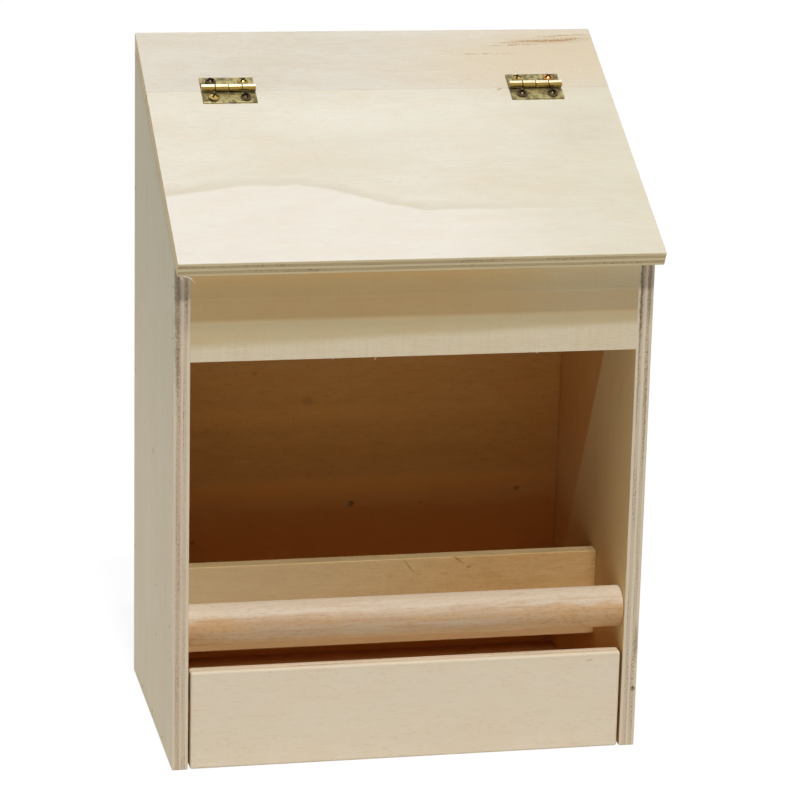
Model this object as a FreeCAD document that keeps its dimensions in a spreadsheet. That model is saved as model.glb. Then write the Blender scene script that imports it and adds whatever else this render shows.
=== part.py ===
import FreeCAD, Part
import math
import os
import re
import Sketcher

# Wooden bird feeder: a plywood box with a sloping roof whose front board is a hinged lid.
# X runs across the front, Y from front to back and Z up. The origin is on the ground,
# under the middle of the box. Roof pieces are laid out along the slope: a run up the
# slope from the front plane of the box, and a lift square to the underside of the roof.

# Driving sizes in millimetres.
SIZES = (
    ("box_width", 150.0, "over both side panels"),
    ("box_depth", 93.0, "front to back of a side panel"),
    ("side_front_height", 162.3, "side panel at the front"),
    ("side_back_height", 212.3, "side panel at the back"),
    ("board_thickness", 5.0, "plywood of every board"),
    ("roof_left_inset", 0.0, "left side panel past the roof"),
    ("roof_right_overhang", 1.4, "roof past the right side panel"),
    ("lid_overhang", 5.7, "lid past the front, along the slope"),
    ("strip_width", 28.5, "fixed roof strip, along its underside"),
    ("seam_gap", 0.15, "between lid and strip"),
    ("fascia_drop", 30.5, "front height of the sides down to the opening"),
    ("fascia_clearance", 0.3, "fascia below the lid"),
    ("front_board_height", 32.2, "board that closes the trough"),
    ("front_board_gap", 0.7, "front board to each side"),
    ("rail_setback", 35.2, "front plane to the seed rail"),
    ("seed_gap", 21.1, "floor to the seed rail"),
    ("rail_height", 28.7, "seed rail"),
    ("perch_diameter", 13.1, "round perch"),
    ("perch_setback", 0.8, "front plane to the perch"),
    ("perch_gap", 6.5, "front board to the perch"),
    ("perch_end_gap", 0.2, "perch end to each side"),
    ("perch_end_radius", 0.8, "eased ends of the perch"),
    ("left_hinge_inset", 26.2, "left roof end to the middle of the hinge"),
    ("right_hinge_inset", 24.9, "right roof end to the middle of the hinge"),
    ("hinge_length", 17.4, "leaf and barrel"),
    ("leaf_reach", 6.3, "pin axis to the free edge of a leaf"),
    ("leaf_thickness", 0.6, "sheet of a leaf"),
    ("barrel_lift", 0.2, "barrel above the boards"),
    ("hinge_pin_diameter", 1.2, "hinge pin"),
    ("hinge_pin_end_radius", 0.2, "eased ends of the hinge pin"),
    ("hinge_pin_clearance", 0.05, "hinge pin to knuckle, on the radius"),
    ("knuckle_gap", 0.16, "between neighbouring knuckles"),
    ("knuckle_clearance", 0.3, "knuckle to the notch of the other leaf"),
    ("screw_offset", 4.0, "pin axis to the screws of a leaf"),
    ("screw_pitch", 10.3, "between the two screws of a leaf"),
    ("screw_head_diameter", 3.5, "domed head"),
    ("screw_head_height", 1.2, "domed head"),
    ("screw_shank_diameter", 1.8, "shank"),
    ("screw_length", 4.5, "under the head"),
    ("screw_point", 1.2, "tapered end"),
    ("screw_clearance", 0.03, "shank to its hole, on the radius"),
    ("recess_span", 1.9, "cross recess, tip to tip"),
    ("recess_width", 0.5, "one arm of the cross recess"),
    ("recess_depth", 0.7, "cross recess"),
    ("nail_diameter", 1.0, "headless pin nail"),
    ("nail_length", 16.0, "headless pin nail"),
    ("nail_point", 1.6, "tapered end"),
    ("nail_tip_diameter", 0.2, "blunt tip of the point"),
    ("nail_clearance", 0.02, "pin nail to its hole, on the radius"),
    ("fascia_nail_margin", 7.0, "fascia edge to the nearest pin nail"),
    ("rail_nail_margin", 6.0, "seed rail edge to the nearest pin nail"),
    ("floor_nail_margin", 18.0, "floor edge to the nearest pin nail"),
    ("back_nail_margin", 45.0, "back panel edge to the nearest pin nail"),
)

# Sizes that follow from the driving ones.
DERIVED = (
    ("slope", "atan((side_back_height - side_front_height) / box_depth)"),
    ("inner_width", "box_width - 2 * board_thickness"),
    ("roof_run", "box_depth / cos(slope)"),
    ("lid_run", "roof_run - strip_width - seam_gap"),
    ("lid_length", "lid_run + lid_overhang"),
    ("seam_run", "lid_run + seam_gap / 2"),
    ("roof_left", "roof_left_inset - box_width / 2"),
    ("roof_right", "roof_right_overhang + box_width / 2"),
    ("roof_width", "roof_right - roof_left"),
    ("left_hinge_x", "roof_left + left_hinge_inset"),
    ("right_hinge_x", "roof_right - right_hinge_inset"),
    ("barrel_diameter", "hinge_pin_diameter + 2 * leaf_thickness"),
    ("pin_lift", "barrel_lift + barrel_diameter / 2"),
    ("knuckle_pitch", "hinge_length / 4"),
    ("fascia_bottom", "side_front_height - fascia_drop"),
    ("fascia_height", "fascia_drop - fascia_clearance"),
    ("rail_bottom", "board_thickness + seed_gap"),
    ("perch_axis_y", "perch_setback + perch_diameter / 2"),
    ("perch_axis_z", "front_board_height + perch_gap + perch_diameter / 2"),
    ("perch_length", "inner_width - 2 * perch_end_gap"),
    ("floor_depth", "box_depth - 2 * board_thickness"),
)

doc = FreeCAD.newDocument("bird_feeder")
sheet = doc.addObject("Spreadsheet::Sheet", "sizes")
row = 1
for alias, value, meaning in SIZES:
    sheet.set("A%d" % row, meaning)
    sheet.set("B%d" % row, "%g" % value)
    sheet.setAlias("B%d" % row, alias)
    row += 1
for alias, formula in DERIVED:
    sheet.set("B%d" % row, "=" + formula)
    sheet.setAlias("B%d" % row, alias)
    row += 1
doc.recompute()

aliases = [entry[0] for entry in SIZES + DERIVED]
ALIAS_WORDS = re.compile(r"\b(%s)\b" % "|".join(aliases))
X_AXIS = FreeCAD.Vector(1, 0, 0)
Y_AXIS = FreeCAD.Vector(0, 1, 0)
QUARTER_TURN = 90
FULL_TURN = 360
# Rough start of a screw's half profile: tip, shank twice, head rim and crown.
SCREW_START = ((0, 0, 0), (1, 1, 0), (1, 4, 0), (2, 4, 0), (0, 5, 0))
SCREW_DOME_START = (1.2, 4.7, 0)
HINGES = (("left", "left_hinge_x"), ("right", "right_hinge_x"))
SIDES = (("left", -1), ("right", 1))
nodes = []


def tie(item, formulas):
    """Bind properties of an object to formulas over the size sheet."""
    for name, formula in formulas.items():
        item.setExpression(name, ALIAS_WORDS.sub(r"sizes.\1", formula))


def place(item, x, y, z, axis=None, degrees=0):
    """Put an object in the box, with y counted from the front plane."""
    if axis is not None:
        item.Placement = FreeCAD.Placement(FreeCAD.Vector(), FreeCAD.Rotation(axis, degrees))
    tie(item, {
        "Placement.Base.x": x,
        "Placement.Base.y": "%s - box_depth / 2" % y,
        "Placement.Base.z": z,
    })


def place_on_roof(item, x, run, lift):
    """Put an object on the slope, its own Y up the slope and its own Z square to it."""
    item.Placement = FreeCAD.Placement(FreeCAD.Vector(), FreeCAD.Rotation(X_AXIS, QUARTER_TURN))
    tie(item, {
        "Placement.Rotation.Angle": "slope",
        "Placement.Base.x": x,
        "Placement.Base.y": "(%s) * cos(slope) - (%s) * sin(slope) - box_depth / 2" % (run, lift),
        "Placement.Base.z": "side_front_height + (%s) * sin(slope) + (%s) * cos(slope)" % (run, lift),
    })


def box(name, length, width, height):
    """Add a rectangular block with tied sizes."""
    item = doc.addObject("Part::Box", name)
    tie(item, {"Length": length, "Width": width, "Height": height})
    return item


def cylinder(name, diameter, height):
    """Add a cylinder with tied sizes."""
    item = doc.addObject("Part::Cylinder", name)
    tie(item, {"Radius": "(%s) / 2" % diameter, "Height": height})
    return item


def sketch_in(body, name, plane_role):
    """Add a sketch on one of the body's own planes."""
    sketch = body.newObject("Sketcher::SketchObject", name)
    plane = [item for item in body.Origin.OriginFeatures if item.Role == plane_role][0]
    sketch.AttachmentSupport = [(plane, "")]
    sketch.MapMode = "FlatFace"
    return sketch


def tie_point(sketch, geometry, point, across, up):
    """Hold a sketch point at formulas for its distances from the two axes."""
    for kind, formula, axis in (("DistanceX", across, -2), ("DistanceY", up, -1)):
        if formula == "0":
            sketch.addConstraint(Sketcher.Constraint("PointOnObject", geometry, point, axis))
            continue
        index = sketch.addConstraint(Sketcher.Constraint(kind, geometry, point, 1.0))
        label = "%s_%d_%d" % (kind.lower(), geometry, point)
        sketch.renameConstraint(index, label)
        tie(sketch, {"Constraints." + label: formula})


def draw_polygon(sketch, corners):
    """Draw a closed polygon whose corners are pairs of formulas, counted anticlockwise."""
    count = len(corners)
    ring = []
    for index in range(count):
        angle = 2 * math.pi * index / count - 3 * math.pi / 4
        ring.append(FreeCAD.Vector(1 + math.cos(angle), 1 + math.sin(angle), 0))
    for index in range(count):
        sketch.addGeometry(Part.LineSegment(ring[index], ring[(index + 1) % count]), False)
    for index in range(count):
        sketch.addConstraint(Sketcher.Constraint("Coincident", index, 2, (index + 1) % count, 1))
    for index, (across, up) in enumerate(corners):
        tie_point(sketch, index, 1, across, up)


def board_from_profile(name, corners, length):
    """Make a board by padding its end profile, drawn front to back, across the box."""
    body = doc.addObject("PartDesign::Body", name)
    sketch = sketch_in(body, name + "_profile", "YZ_Plane")
    draw_polygon(sketch, corners)
    pad = body.newObject("PartDesign::Pad", name + "_pad")
    pad.Profile = sketch
    tie(pad, {"Length": length})
    body.Tip = pad
    return body


def round_bar(name, diameter, length, end_radius):
    """Make a round bar across the box with eased ends."""
    body = doc.addObject("PartDesign::Body", name)
    sketch = sketch_in(body, name + "_section", "YZ_Plane")
    sketch.addGeometry(Part.Circle(FreeCAD.Vector(), FreeCAD.Vector(0, 0, 1), 1.0), False)
    sketch.addConstraint(Sketcher.Constraint("Coincident", 0, 3, -1, 1))
    index = sketch.addConstraint(Sketcher.Constraint("Diameter", 0, 2.0))
    sketch.renameConstraint(index, "diameter")
    tie(sketch, {"Constraints.diameter": diameter})
    pad = body.newObject("PartDesign::Pad", name + "_pad")
    pad.Profile = sketch
    tie(pad, {"Length": length})
    doc.recompute()
    rims = []
    for index, edge in enumerate(pad.Shape.Edges):
        if isinstance(edge.Curve, Part.Circle):
            rims.append("Edge%d" % (index + 1))
    fillet = body.newObject("PartDesign::Fillet", name + "_ends")
    fillet.Base = (pad, rims)
    tie(fillet, {"Radius": end_radius})
    body.Tip = fillet
    return body


def drilled(name, board, holes):
    """Cut a board with its holes and keep the result as a node."""
    tool = doc.addObject("Part::Compound", name + "_holes")
    tool.Links = holes
    cut = doc.addObject("Part::Cut", name)
    cut.Base = board
    cut.Tool = tool
    return keep(name, cut)


def grouped(name, pieces):
    """Keep several like pieces as one node of separate solids."""
    group = doc.addObject("Part::Compound", name)
    group.Links = pieces
    return keep(name, group)


def keep(name, item):
    """List an object as a node of the part."""
    item.Label = name
    nodes.append((name, item))
    return item


def pin_nail(name, sign, y, z):
    """Make one headless pin nail, driven flush through a side panel, and its hole."""
    outside = "%d * box_width / 2" % sign
    degrees = -sign * QUARTER_TURN
    shank = cylinder(name + "_shank", "nail_diameter", "nail_length - nail_point")
    place(shank, outside, y, z, Y_AXIS, degrees)
    point = doc.addObject("Part::Cone", name + "_point")
    tie(point, {
        "Radius1": "nail_diameter / 2",
        "Radius2": "nail_tip_diameter / 2",
        "Height": "nail_point",
    })
    place(point, "%s - %d * (nail_length - nail_point)" % (outside, sign), y, z, Y_AXIS, degrees)
    nail = doc.addObject("Part::Fuse", name)
    nail.Base = shank
    nail.Tool = point
    hole = cylinder(name + "_hole", "nail_diameter + 2 * nail_clearance", "nail_length + nail_clearance")
    place(hole, outside, y, z, Y_AXIS, degrees)
    return nail, hole


def hinge_screw(name, x, run):
    """Make one cross-head screw, its head seated on a leaf, and its hole in the board."""
    body = doc.addObject("PartDesign::Body", name + "_blank")
    profile = sketch_in(body, name + "_profile", "XZ_Plane")
    corners = (
        ("0", "0"),
        ("screw_shank_diameter / 2", "screw_point"),
        ("screw_shank_diameter / 2", "screw_length"),
        ("screw_head_diameter / 2", "screw_length"),
        ("0", "screw_length + screw_head_height"),
    )
    tip, shank_low, shank_top, rim, crown = [FreeCAD.Vector(*at) for at in SCREW_START]
    shoulder = FreeCAD.Vector(*SCREW_DOME_START)
    profile.addGeometry(Part.LineSegment(tip, shank_low), False)
    profile.addGeometry(Part.LineSegment(shank_low, shank_top), False)
    profile.addGeometry(Part.LineSegment(shank_top, rim), False)
    dome = profile.addGeometry(Part.Arc(rim, shoulder, crown), False)
    profile.addGeometry(Part.LineSegment(crown, tip), False)
    count = len(corners)
    for index in range(count):
        profile.addConstraint(Sketcher.Constraint("Coincident", index, 2, (index + 1) % count, 1))
    profile.addConstraint(Sketcher.Constraint("PointOnObject", dome, 3, -2))
    for index, (across, up) in enumerate(corners):
        tie_point(profile, index, 1, across, up)
    turned = body.newObject("PartDesign::Revolution", name + "_turned")
    turned.Profile = profile
    turned.ReferenceAxis = (profile, ["V_Axis"])
    turned.Angle = FULL_TURN
    body.Tip = turned
    arms = []
    for arm, length, width in (("a", "recess_span", "recess_width"), ("b", "recess_width", "recess_span")):
        block = box(name + "_recess_" + arm, length, width, "2 * recess_depth")
        tie(block, {
            "Placement.Base.x": "-(%s) / 2" % length,
            "Placement.Base.y": "-(%s) / 2" % width,
            "Placement.Base.z": "screw_length + screw_head_height - recess_depth",
        })
        arms.append(block)
    recess = doc.addObject("Part::MultiFuse", name + "_recess")
    recess.Shapes = arms
    screw = doc.addObject("Part::Cut", name)
    screw.Base = body
    screw.Tool = recess
    place_on_roof(screw, x, run, "board_thickness + leaf_thickness - screw_length")
    hole = cylinder(name + "_hole", "screw_shank_diameter + 2 * screw_clearance", "2 * screw_length")
    place_on_roof(hole, x, run, "board_thickness + leaf_thickness - screw_length - screw_clearance")
    return screw, hole


def hinge_leaf(name, x, sign, cleared):
    """Make a leaf rolled round the pin, reaching up the slope if sign is 1 and down it if -1.

    The spans in cleared are cut out for the knuckles of the other leaf.
    """
    plate = box(name + "_plate", "hinge_length", "leaf_reach", "leaf_thickness")
    tie(plate, {
        "Placement.Base.x": "-hinge_length / 2",
        "Placement.Base.y": "0" if sign > 0 else "-leaf_reach",
    })
    barrel = cylinder(name + "_barrel", "barrel_diameter", "hinge_length")
    barrel.Placement = FreeCAD.Placement(FreeCAD.Vector(), FreeCAD.Rotation(Y_AXIS, QUARTER_TURN))
    tie(barrel, {"Placement.Base.x": "-hinge_length / 2", "Placement.Base.z": "pin_lift"})
    blank = doc.addObject("Part::Fuse", name + "_blank")
    blank.Base = plate
    blank.Tool = barrel
    tools = []
    for index, (begin, end) in enumerate(cleared):
        notch = box(
            "%s_notch_%d" % (name, index),
            "(%s) - (%s)" % (end, begin),
            "barrel_diameter + 2 * knuckle_clearance",
            "2 * (barrel_diameter + barrel_lift)",
        )
        tie(notch, {
            "Placement.Base.x": begin,
            "Placement.Base.y": "-barrel_diameter / 2 - knuckle_clearance",
            "Placement.Base.z": "-barrel_diameter / 2",
        })
        tools.append(notch)
    bore = cylinder(name + "_bore", "hinge_pin_diameter + 2 * hinge_pin_clearance", "2 * hinge_length")
    bore.Placement = FreeCAD.Placement(FreeCAD.Vector(), FreeCAD.Rotation(Y_AXIS, QUARTER_TURN))
    tie(bore, {"Placement.Base.x": "-hinge_length", "Placement.Base.z": "pin_lift"})
    tools.append(bore)
    for side, side_sign in SIDES:
        hole = cylinder(
            "%s_%s_hole" % (name, side),
            "screw_shank_diameter + 2 * screw_clearance",
            "3 * leaf_thickness",
        )
        tie(hole, {
            "Placement.Base.x": "%d * screw_pitch / 2" % side_sign,
            "Placement.Base.y": "%d * screw_offset" % sign,
            "Placement.Base.z": "-leaf_thickness",
        })
        tools.append(hole)
    tool = doc.addObject("Part::MultiFuse", name + "_cutters")
    tool.Shapes = tools
    leaf = doc.addObject("Part::Cut", name)
    leaf.Base = blank
    leaf.Tool = tool
    place_on_roof(leaf, x, "seam_run", "board_thickness")
    return keep(name, leaf)


# Pin nails, in rows through both sides into the ends of the boards between them.
front_middle = "board_thickness / 2"
rail_middle = "(rail_setback + board_thickness / 2)"
back_middle = "(box_depth - board_thickness / 2)"
floor_middle = "board_thickness / 2"
NAIL_ROWS = (
    ("fascia_pins", "front_fascia", (
        (front_middle, "fascia_bottom + fascia_nail_margin"),
        (front_middle, "fascia_bottom + fascia_height - fascia_nail_margin"),
    )),
    ("rail_pins", "seed_rail", (
        (rail_middle, "rail_bottom + rail_nail_margin"),
        (rail_middle, "rail_bottom + rail_height - rail_nail_margin"),
    )),
    ("perch_pins", "perch_dowel", (
        ("perch_axis_y", "perch_axis_z"),
    )),
    ("floor_pins", "floor_panel", (
        ("(board_thickness + floor_nail_margin)", floor_middle),
        ("(box_depth / 2)", floor_middle),
        ("(box_depth - board_thickness - floor_nail_margin)", floor_middle),
    )),
    ("back_pins", "back_panel", (
        (back_middle, "back_nail_margin"),
        (back_middle, "side_back_height / 2"),
        (back_middle, "side_back_height - back_nail_margin"),
    )),
)
side_holes = {"left": [], "right": []}
board_holes = {}
nail_groups = []
for group_name, board_name, spots in NAIL_ROWS:
    nails = []
    for side, sign in SIDES:
        for index, (y, z) in enumerate(spots):
            nail, hole = pin_nail("%s_%s_%d" % (group_name, side, index + 1), sign, y, z)
            nails.append(nail)
            side_holes[side].append(hole)
            board_holes.setdefault(board_name, []).append(hole)
    nail_groups.append((group_name, nails))

# Box: sides, back, floor, front board, fascia, seed rail and perch.
SIDE_CORNERS = (
    ("0", "0"),
    ("box_depth", "0"),
    ("box_depth", "side_back_height"),
    ("0", "side_front_height"),
)
for side, sign in SIDES:
    name = side + "_side_panel"
    board = board_from_profile(name + "_board", SIDE_CORNERS, "board_thickness")
    place(board, "%d * box_width / 2 + (%d) * board_thickness" % (sign, -(1 + sign) // 2), "0", "0")
    drilled(name, board, side_holes[side])

BACK_CORNERS = (
    ("0", "0"),
    ("board_thickness", "0"),
    ("board_thickness", "side_back_height"),
    ("0", "side_back_height - board_thickness * tan(slope)"),
)
board = board_from_profile("back_panel_board", BACK_CORNERS, "inner_width")
place(board, "-inner_width / 2", "box_depth - board_thickness", "0")
drilled("back_panel", board, board_holes["back_panel"])

board = box("floor_panel_board", "inner_width", "floor_depth", "board_thickness")
place(board, "-inner_width / 2", "board_thickness", "0")
drilled("floor_panel", board, board_holes["floor_panel"])

board = box("front_board", "inner_width - 2 * front_board_gap", "board_thickness", "front_board_height")
place(board, "-inner_width / 2 + front_board_gap", "0", "0")
keep("front_board", board)

FASCIA_CORNERS = (
    ("0", "0"),
    ("board_thickness", "0"),
    ("board_thickness", "fascia_height + board_thickness * tan(slope)"),
    ("0", "fascia_height"),
)
board = board_from_profile("front_fascia_board", FASCIA_CORNERS, "inner_width")
place(board, "-inner_width / 2", "0", "fascia_bottom")
drilled("front_fascia", board, board_holes["front_fascia"])

board = box("seed_rail_board", "inner_width", "board_thickness", "rail_height")
place(board, "-inner_width / 2", "rail_setback", "rail_bottom")
drilled("seed_rail", board, board_holes["seed_rail"])

bar = round_bar("perch_dowel_bar", "perch_diameter", "perch_length", "perch_end_radius")
place(bar, "-perch_length / 2", "perch_axis_y", "perch_axis_z")
drilled("perch_dowel", bar, board_holes["perch_dowel"])

# Hinges: two leaves, a pin and four screws each. The outer knuckles are on the roof leaf,
# the two inner ones, parted by a slit, on the lid leaf.
inner_end = "(knuckle_pitch + knuckle_gap / 2)"
outer_end = "(knuckle_pitch - knuckle_gap / 2)"
ROOF_LEAF_CLEARED = (("-" + inner_end, inner_end),)
LID_LEAF_CLEARED = (
    ("-hinge_length", "-" + outer_end),
    ("-knuckle_gap / 2", "knuckle_gap / 2"),
    (outer_end, "hinge_length"),
)
roof_screws = []
lid_screws = []
strip_holes = []
lid_holes = []
for side, middle in HINGES:
    hinge_leaf(side + "_hinge_roof_leaf", middle, 1, ROOF_LEAF_CLEARED)
    hinge_leaf(side + "_hinge_lid_leaf", middle, -1, LID_LEAF_CLEARED)
    pin = round_bar(side + "_hinge_pin", "hinge_pin_diameter", "hinge_length", "hinge_pin_end_radius")
    place_on_roof(pin, middle + " - hinge_length / 2", "seam_run", "board_thickness + pin_lift")
    keep(side + "_hinge_pin", pin)
    for end, end_sign in SIDES:
        x = "%s + %d * screw_pitch / 2" % (middle, end_sign)
        screw, hole = hinge_screw("%s_roof_screw_%s" % (side, end), x, "seam_run + screw_offset")
        roof_screws.append(screw)
        strip_holes.append(hole)
        screw, hole = hinge_screw("%s_lid_screw_%s" % (side, end), x, "seam_run - screw_offset")
        lid_screws.append(screw)
        lid_holes.append(hole)

# Roof: the fixed strip, its rear edge planed flush with the back, and the lid.
STRIP_CORNERS = (
    ("0", "0"),
    ("strip_width", "0"),
    ("strip_width + board_thickness * tan(slope)", "board_thickness"),
    ("0", "board_thickness"),
)
board = board_from_profile("roof_strip_board", STRIP_CORNERS, "roof_width")
place_on_roof(board, "roof_left", "lid_run + seam_gap", "0")
drilled("roof_strip", board, strip_holes)

board = box("lid_board", "roof_width", "lid_length", "board_thickness")
place_on_roof(board, "roof_left", "-lid_overhang", "0")
drilled("lid", board, lid_holes)

grouped("hinge_roof_screws", roof_screws)
grouped("hinge_lid_screws", lid_screws)
for group_name, nails in nail_groups:
    grouped(group_name, nails)

doc.recompute()
for item in doc.Objects:
    if "Invalid" in item.State or "Error" in item.State:
        raise RuntimeError("object did not build: " + item.Label)
os.makedirs("parts", exist_ok=True)
for name, item in nodes:
    shape = item.Shape
    if shape.isNull() or not shape.isValid() or not shape.Solids:
        raise RuntimeError("node has no valid solid: " + name)
    shape.exportStep("parts/%s.step" % name)
    print("%-24s %d solid(s) %10.1f mm3" % (name, len(shape.Solids), shape.Volume))
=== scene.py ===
"""Plywood bird feeder with a hinged lid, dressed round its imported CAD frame."""

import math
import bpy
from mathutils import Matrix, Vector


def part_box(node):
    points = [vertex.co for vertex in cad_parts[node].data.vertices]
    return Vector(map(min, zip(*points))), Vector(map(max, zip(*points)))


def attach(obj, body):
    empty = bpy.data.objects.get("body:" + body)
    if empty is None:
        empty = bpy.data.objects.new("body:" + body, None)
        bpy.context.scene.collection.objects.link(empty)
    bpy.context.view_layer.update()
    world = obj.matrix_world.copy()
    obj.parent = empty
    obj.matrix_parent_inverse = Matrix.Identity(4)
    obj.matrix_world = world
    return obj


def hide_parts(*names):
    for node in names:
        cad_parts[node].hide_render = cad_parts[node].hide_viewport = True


bl_info = {
    "name": "Plywood bird feeder",
    "version": (1, 0, 0),
    "blender": (4, 5, 0),
    "location": "View3D > Sidebar > Feeder",
    "description": "Builds the boards, perch, hinges and studio of a plywood bird feeder",
    "category": "Add Mesh",
}

from collections import namedtuple
from functools import partial

import bmesh
import bpy
from bpy.props import FloatProperty, FloatVectorProperty, PointerProperty
from bpy.types import Operator, Panel, PropertyGroup
from mathutils import Euler, Matrix, Vector

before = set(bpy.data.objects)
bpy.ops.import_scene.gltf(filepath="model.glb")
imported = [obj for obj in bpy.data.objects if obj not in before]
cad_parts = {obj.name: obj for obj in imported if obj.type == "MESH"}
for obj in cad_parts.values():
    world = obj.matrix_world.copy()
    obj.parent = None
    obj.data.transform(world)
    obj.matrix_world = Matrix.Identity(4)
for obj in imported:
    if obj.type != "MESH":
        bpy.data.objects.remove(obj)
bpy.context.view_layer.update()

# Places and lengths are in millimetres of the CAD, and meshes in metres. Points of the CAD that are nearer
# to a plane than NEAR lie on it.
MM = 0.001
NEAR = 0.05
X_AXIS, Y_AXIS, Z_AXIS = Vector((1, 0, 0)), Vector((0, 1, 0)), Vector((0, 0, 1))
SIDES = (("left", -1), ("right", 1))


# The frame

def node_box(node):
    """Lowest and highest corner of a CAD node."""
    return tuple(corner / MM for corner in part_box(node))


def node_points(node):
    """Points of a CAD node's mesh."""
    return [v.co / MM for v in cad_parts[node].data.vertices]


def top_at(node, y):
    """Height of a CAD node's top edge at depth y."""
    return max(p.z for p in node_points(node) if abs(p.y - y) < NEAR)


BOX_LOW, BOX_HIGH = node_box("left_side_panel")
THICK = BOX_HIGH.x - BOX_LOW.x
FRONT, BACK = BOX_LOW.y, BOX_HIGH.y
SIDE_FRONT_TOP = top_at("left_side_panel", FRONT)
SIDE_BACK_TOP = top_at("left_side_panel", BACK)
SLOPE = math.atan2(SIDE_BACK_TOP - SIDE_FRONT_TOP, BACK - FRONT)
UP_SLOPE = Vector((0, math.cos(SLOPE), math.sin(SLOPE)))
OFF_ROOF = Vector((0, -math.sin(SLOPE), math.cos(SLOPE)))
ROOF_FOOT = Vector((0, FRONT, SIDE_FRONT_TOP))


def on_roof(x, run, lift):
    """CAD point at x, a run up the slope from the front and a lift off the roof's underside."""
    return ROOF_FOOT + X_AXIS * x + UP_SLOPE * run + OFF_ROOF * lift


def roof_run(point):
    """How far up the slope a CAD point lies."""
    return (point - ROOF_FOOT).dot(UP_SLOPE)


def node_runs(node):
    """Lowest and highest run of a CAD node along its underside."""
    runs = [roof_run(p) for p in node_points(node) if abs((p - ROOF_FOOT).dot(OFF_ROOF)) < NEAR]
    return min(runs), max(runs)


def inner_face(side, sign):
    """Where the inner face of a side panel lies in x."""
    return node_box(side + "_side_panel")[0 if sign > 0 else 1].x


# Sizes, colours and lights that a user would change

def linear(code):
    """Linear colour of an sRGB hex value."""
    parts = [int(code[i:i + 2], 16) / 255 for i in (0, 2, 4)]
    return tuple(p / 12.92 if p <= 0.04045 else ((p + 0.055) / 1.055) ** 2.4 for p in parts) + (1.0,)


def tone(name, description, code):
    """A colour to change, from its sRGB hex value."""
    return FloatVectorProperty(
        name=name, description=description, default=linear(code),
        size=4, min=0, max=1, subtype="COLOR",
    )


def length(name, description, millimetres):
    """A size to change, from its length in mm."""
    return FloatProperty(
        name=name, description=description, default=millimetres * MM,
        min=0, precision=5, unit="LENGTH",
    )


def strength(name, description, value):
    """A light's strength to change."""
    return FloatProperty(name=name, description="Strength of the " + description, default=value, min=0)


class FeederSizes(PropertyGroup):
    """Small sizes of the visible finish"""
    edge_ease: length("Eased edges", "Radius sanded on the edges of the boards", 0.35)
    front_ease: length("Eased front board", "Radius sanded on the edges of the front board", 0.8)
    dowel_ease: length("Dowel ends", "Radius sanded on the ends of the perch", 0.2)
    leaf_ease: length("Hinge edges", "Radius left on the edges of the hinge leaves", 0.09)
    nail_hole: length("Nail hole", "Diameter of the holes of the pin nails", 1.04)
    screw_hole: length("Screw hole", "Diameter of the holes of the hinge screws", 1.86)
    screw_head: length("Screw head", "Diameter of the heads of the hinge screws", 3.5)
    screw_dome: length("Screw dome", "Height of the heads of the hinge screws", 1.2)
    splinter: length("Splinters", "Length of the fibres torn at the lid's corner", 3.2)
    glue_bead: length("Glue bead", "Leg of the glue squeezed out in the opening's corners", 0.8)


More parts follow.
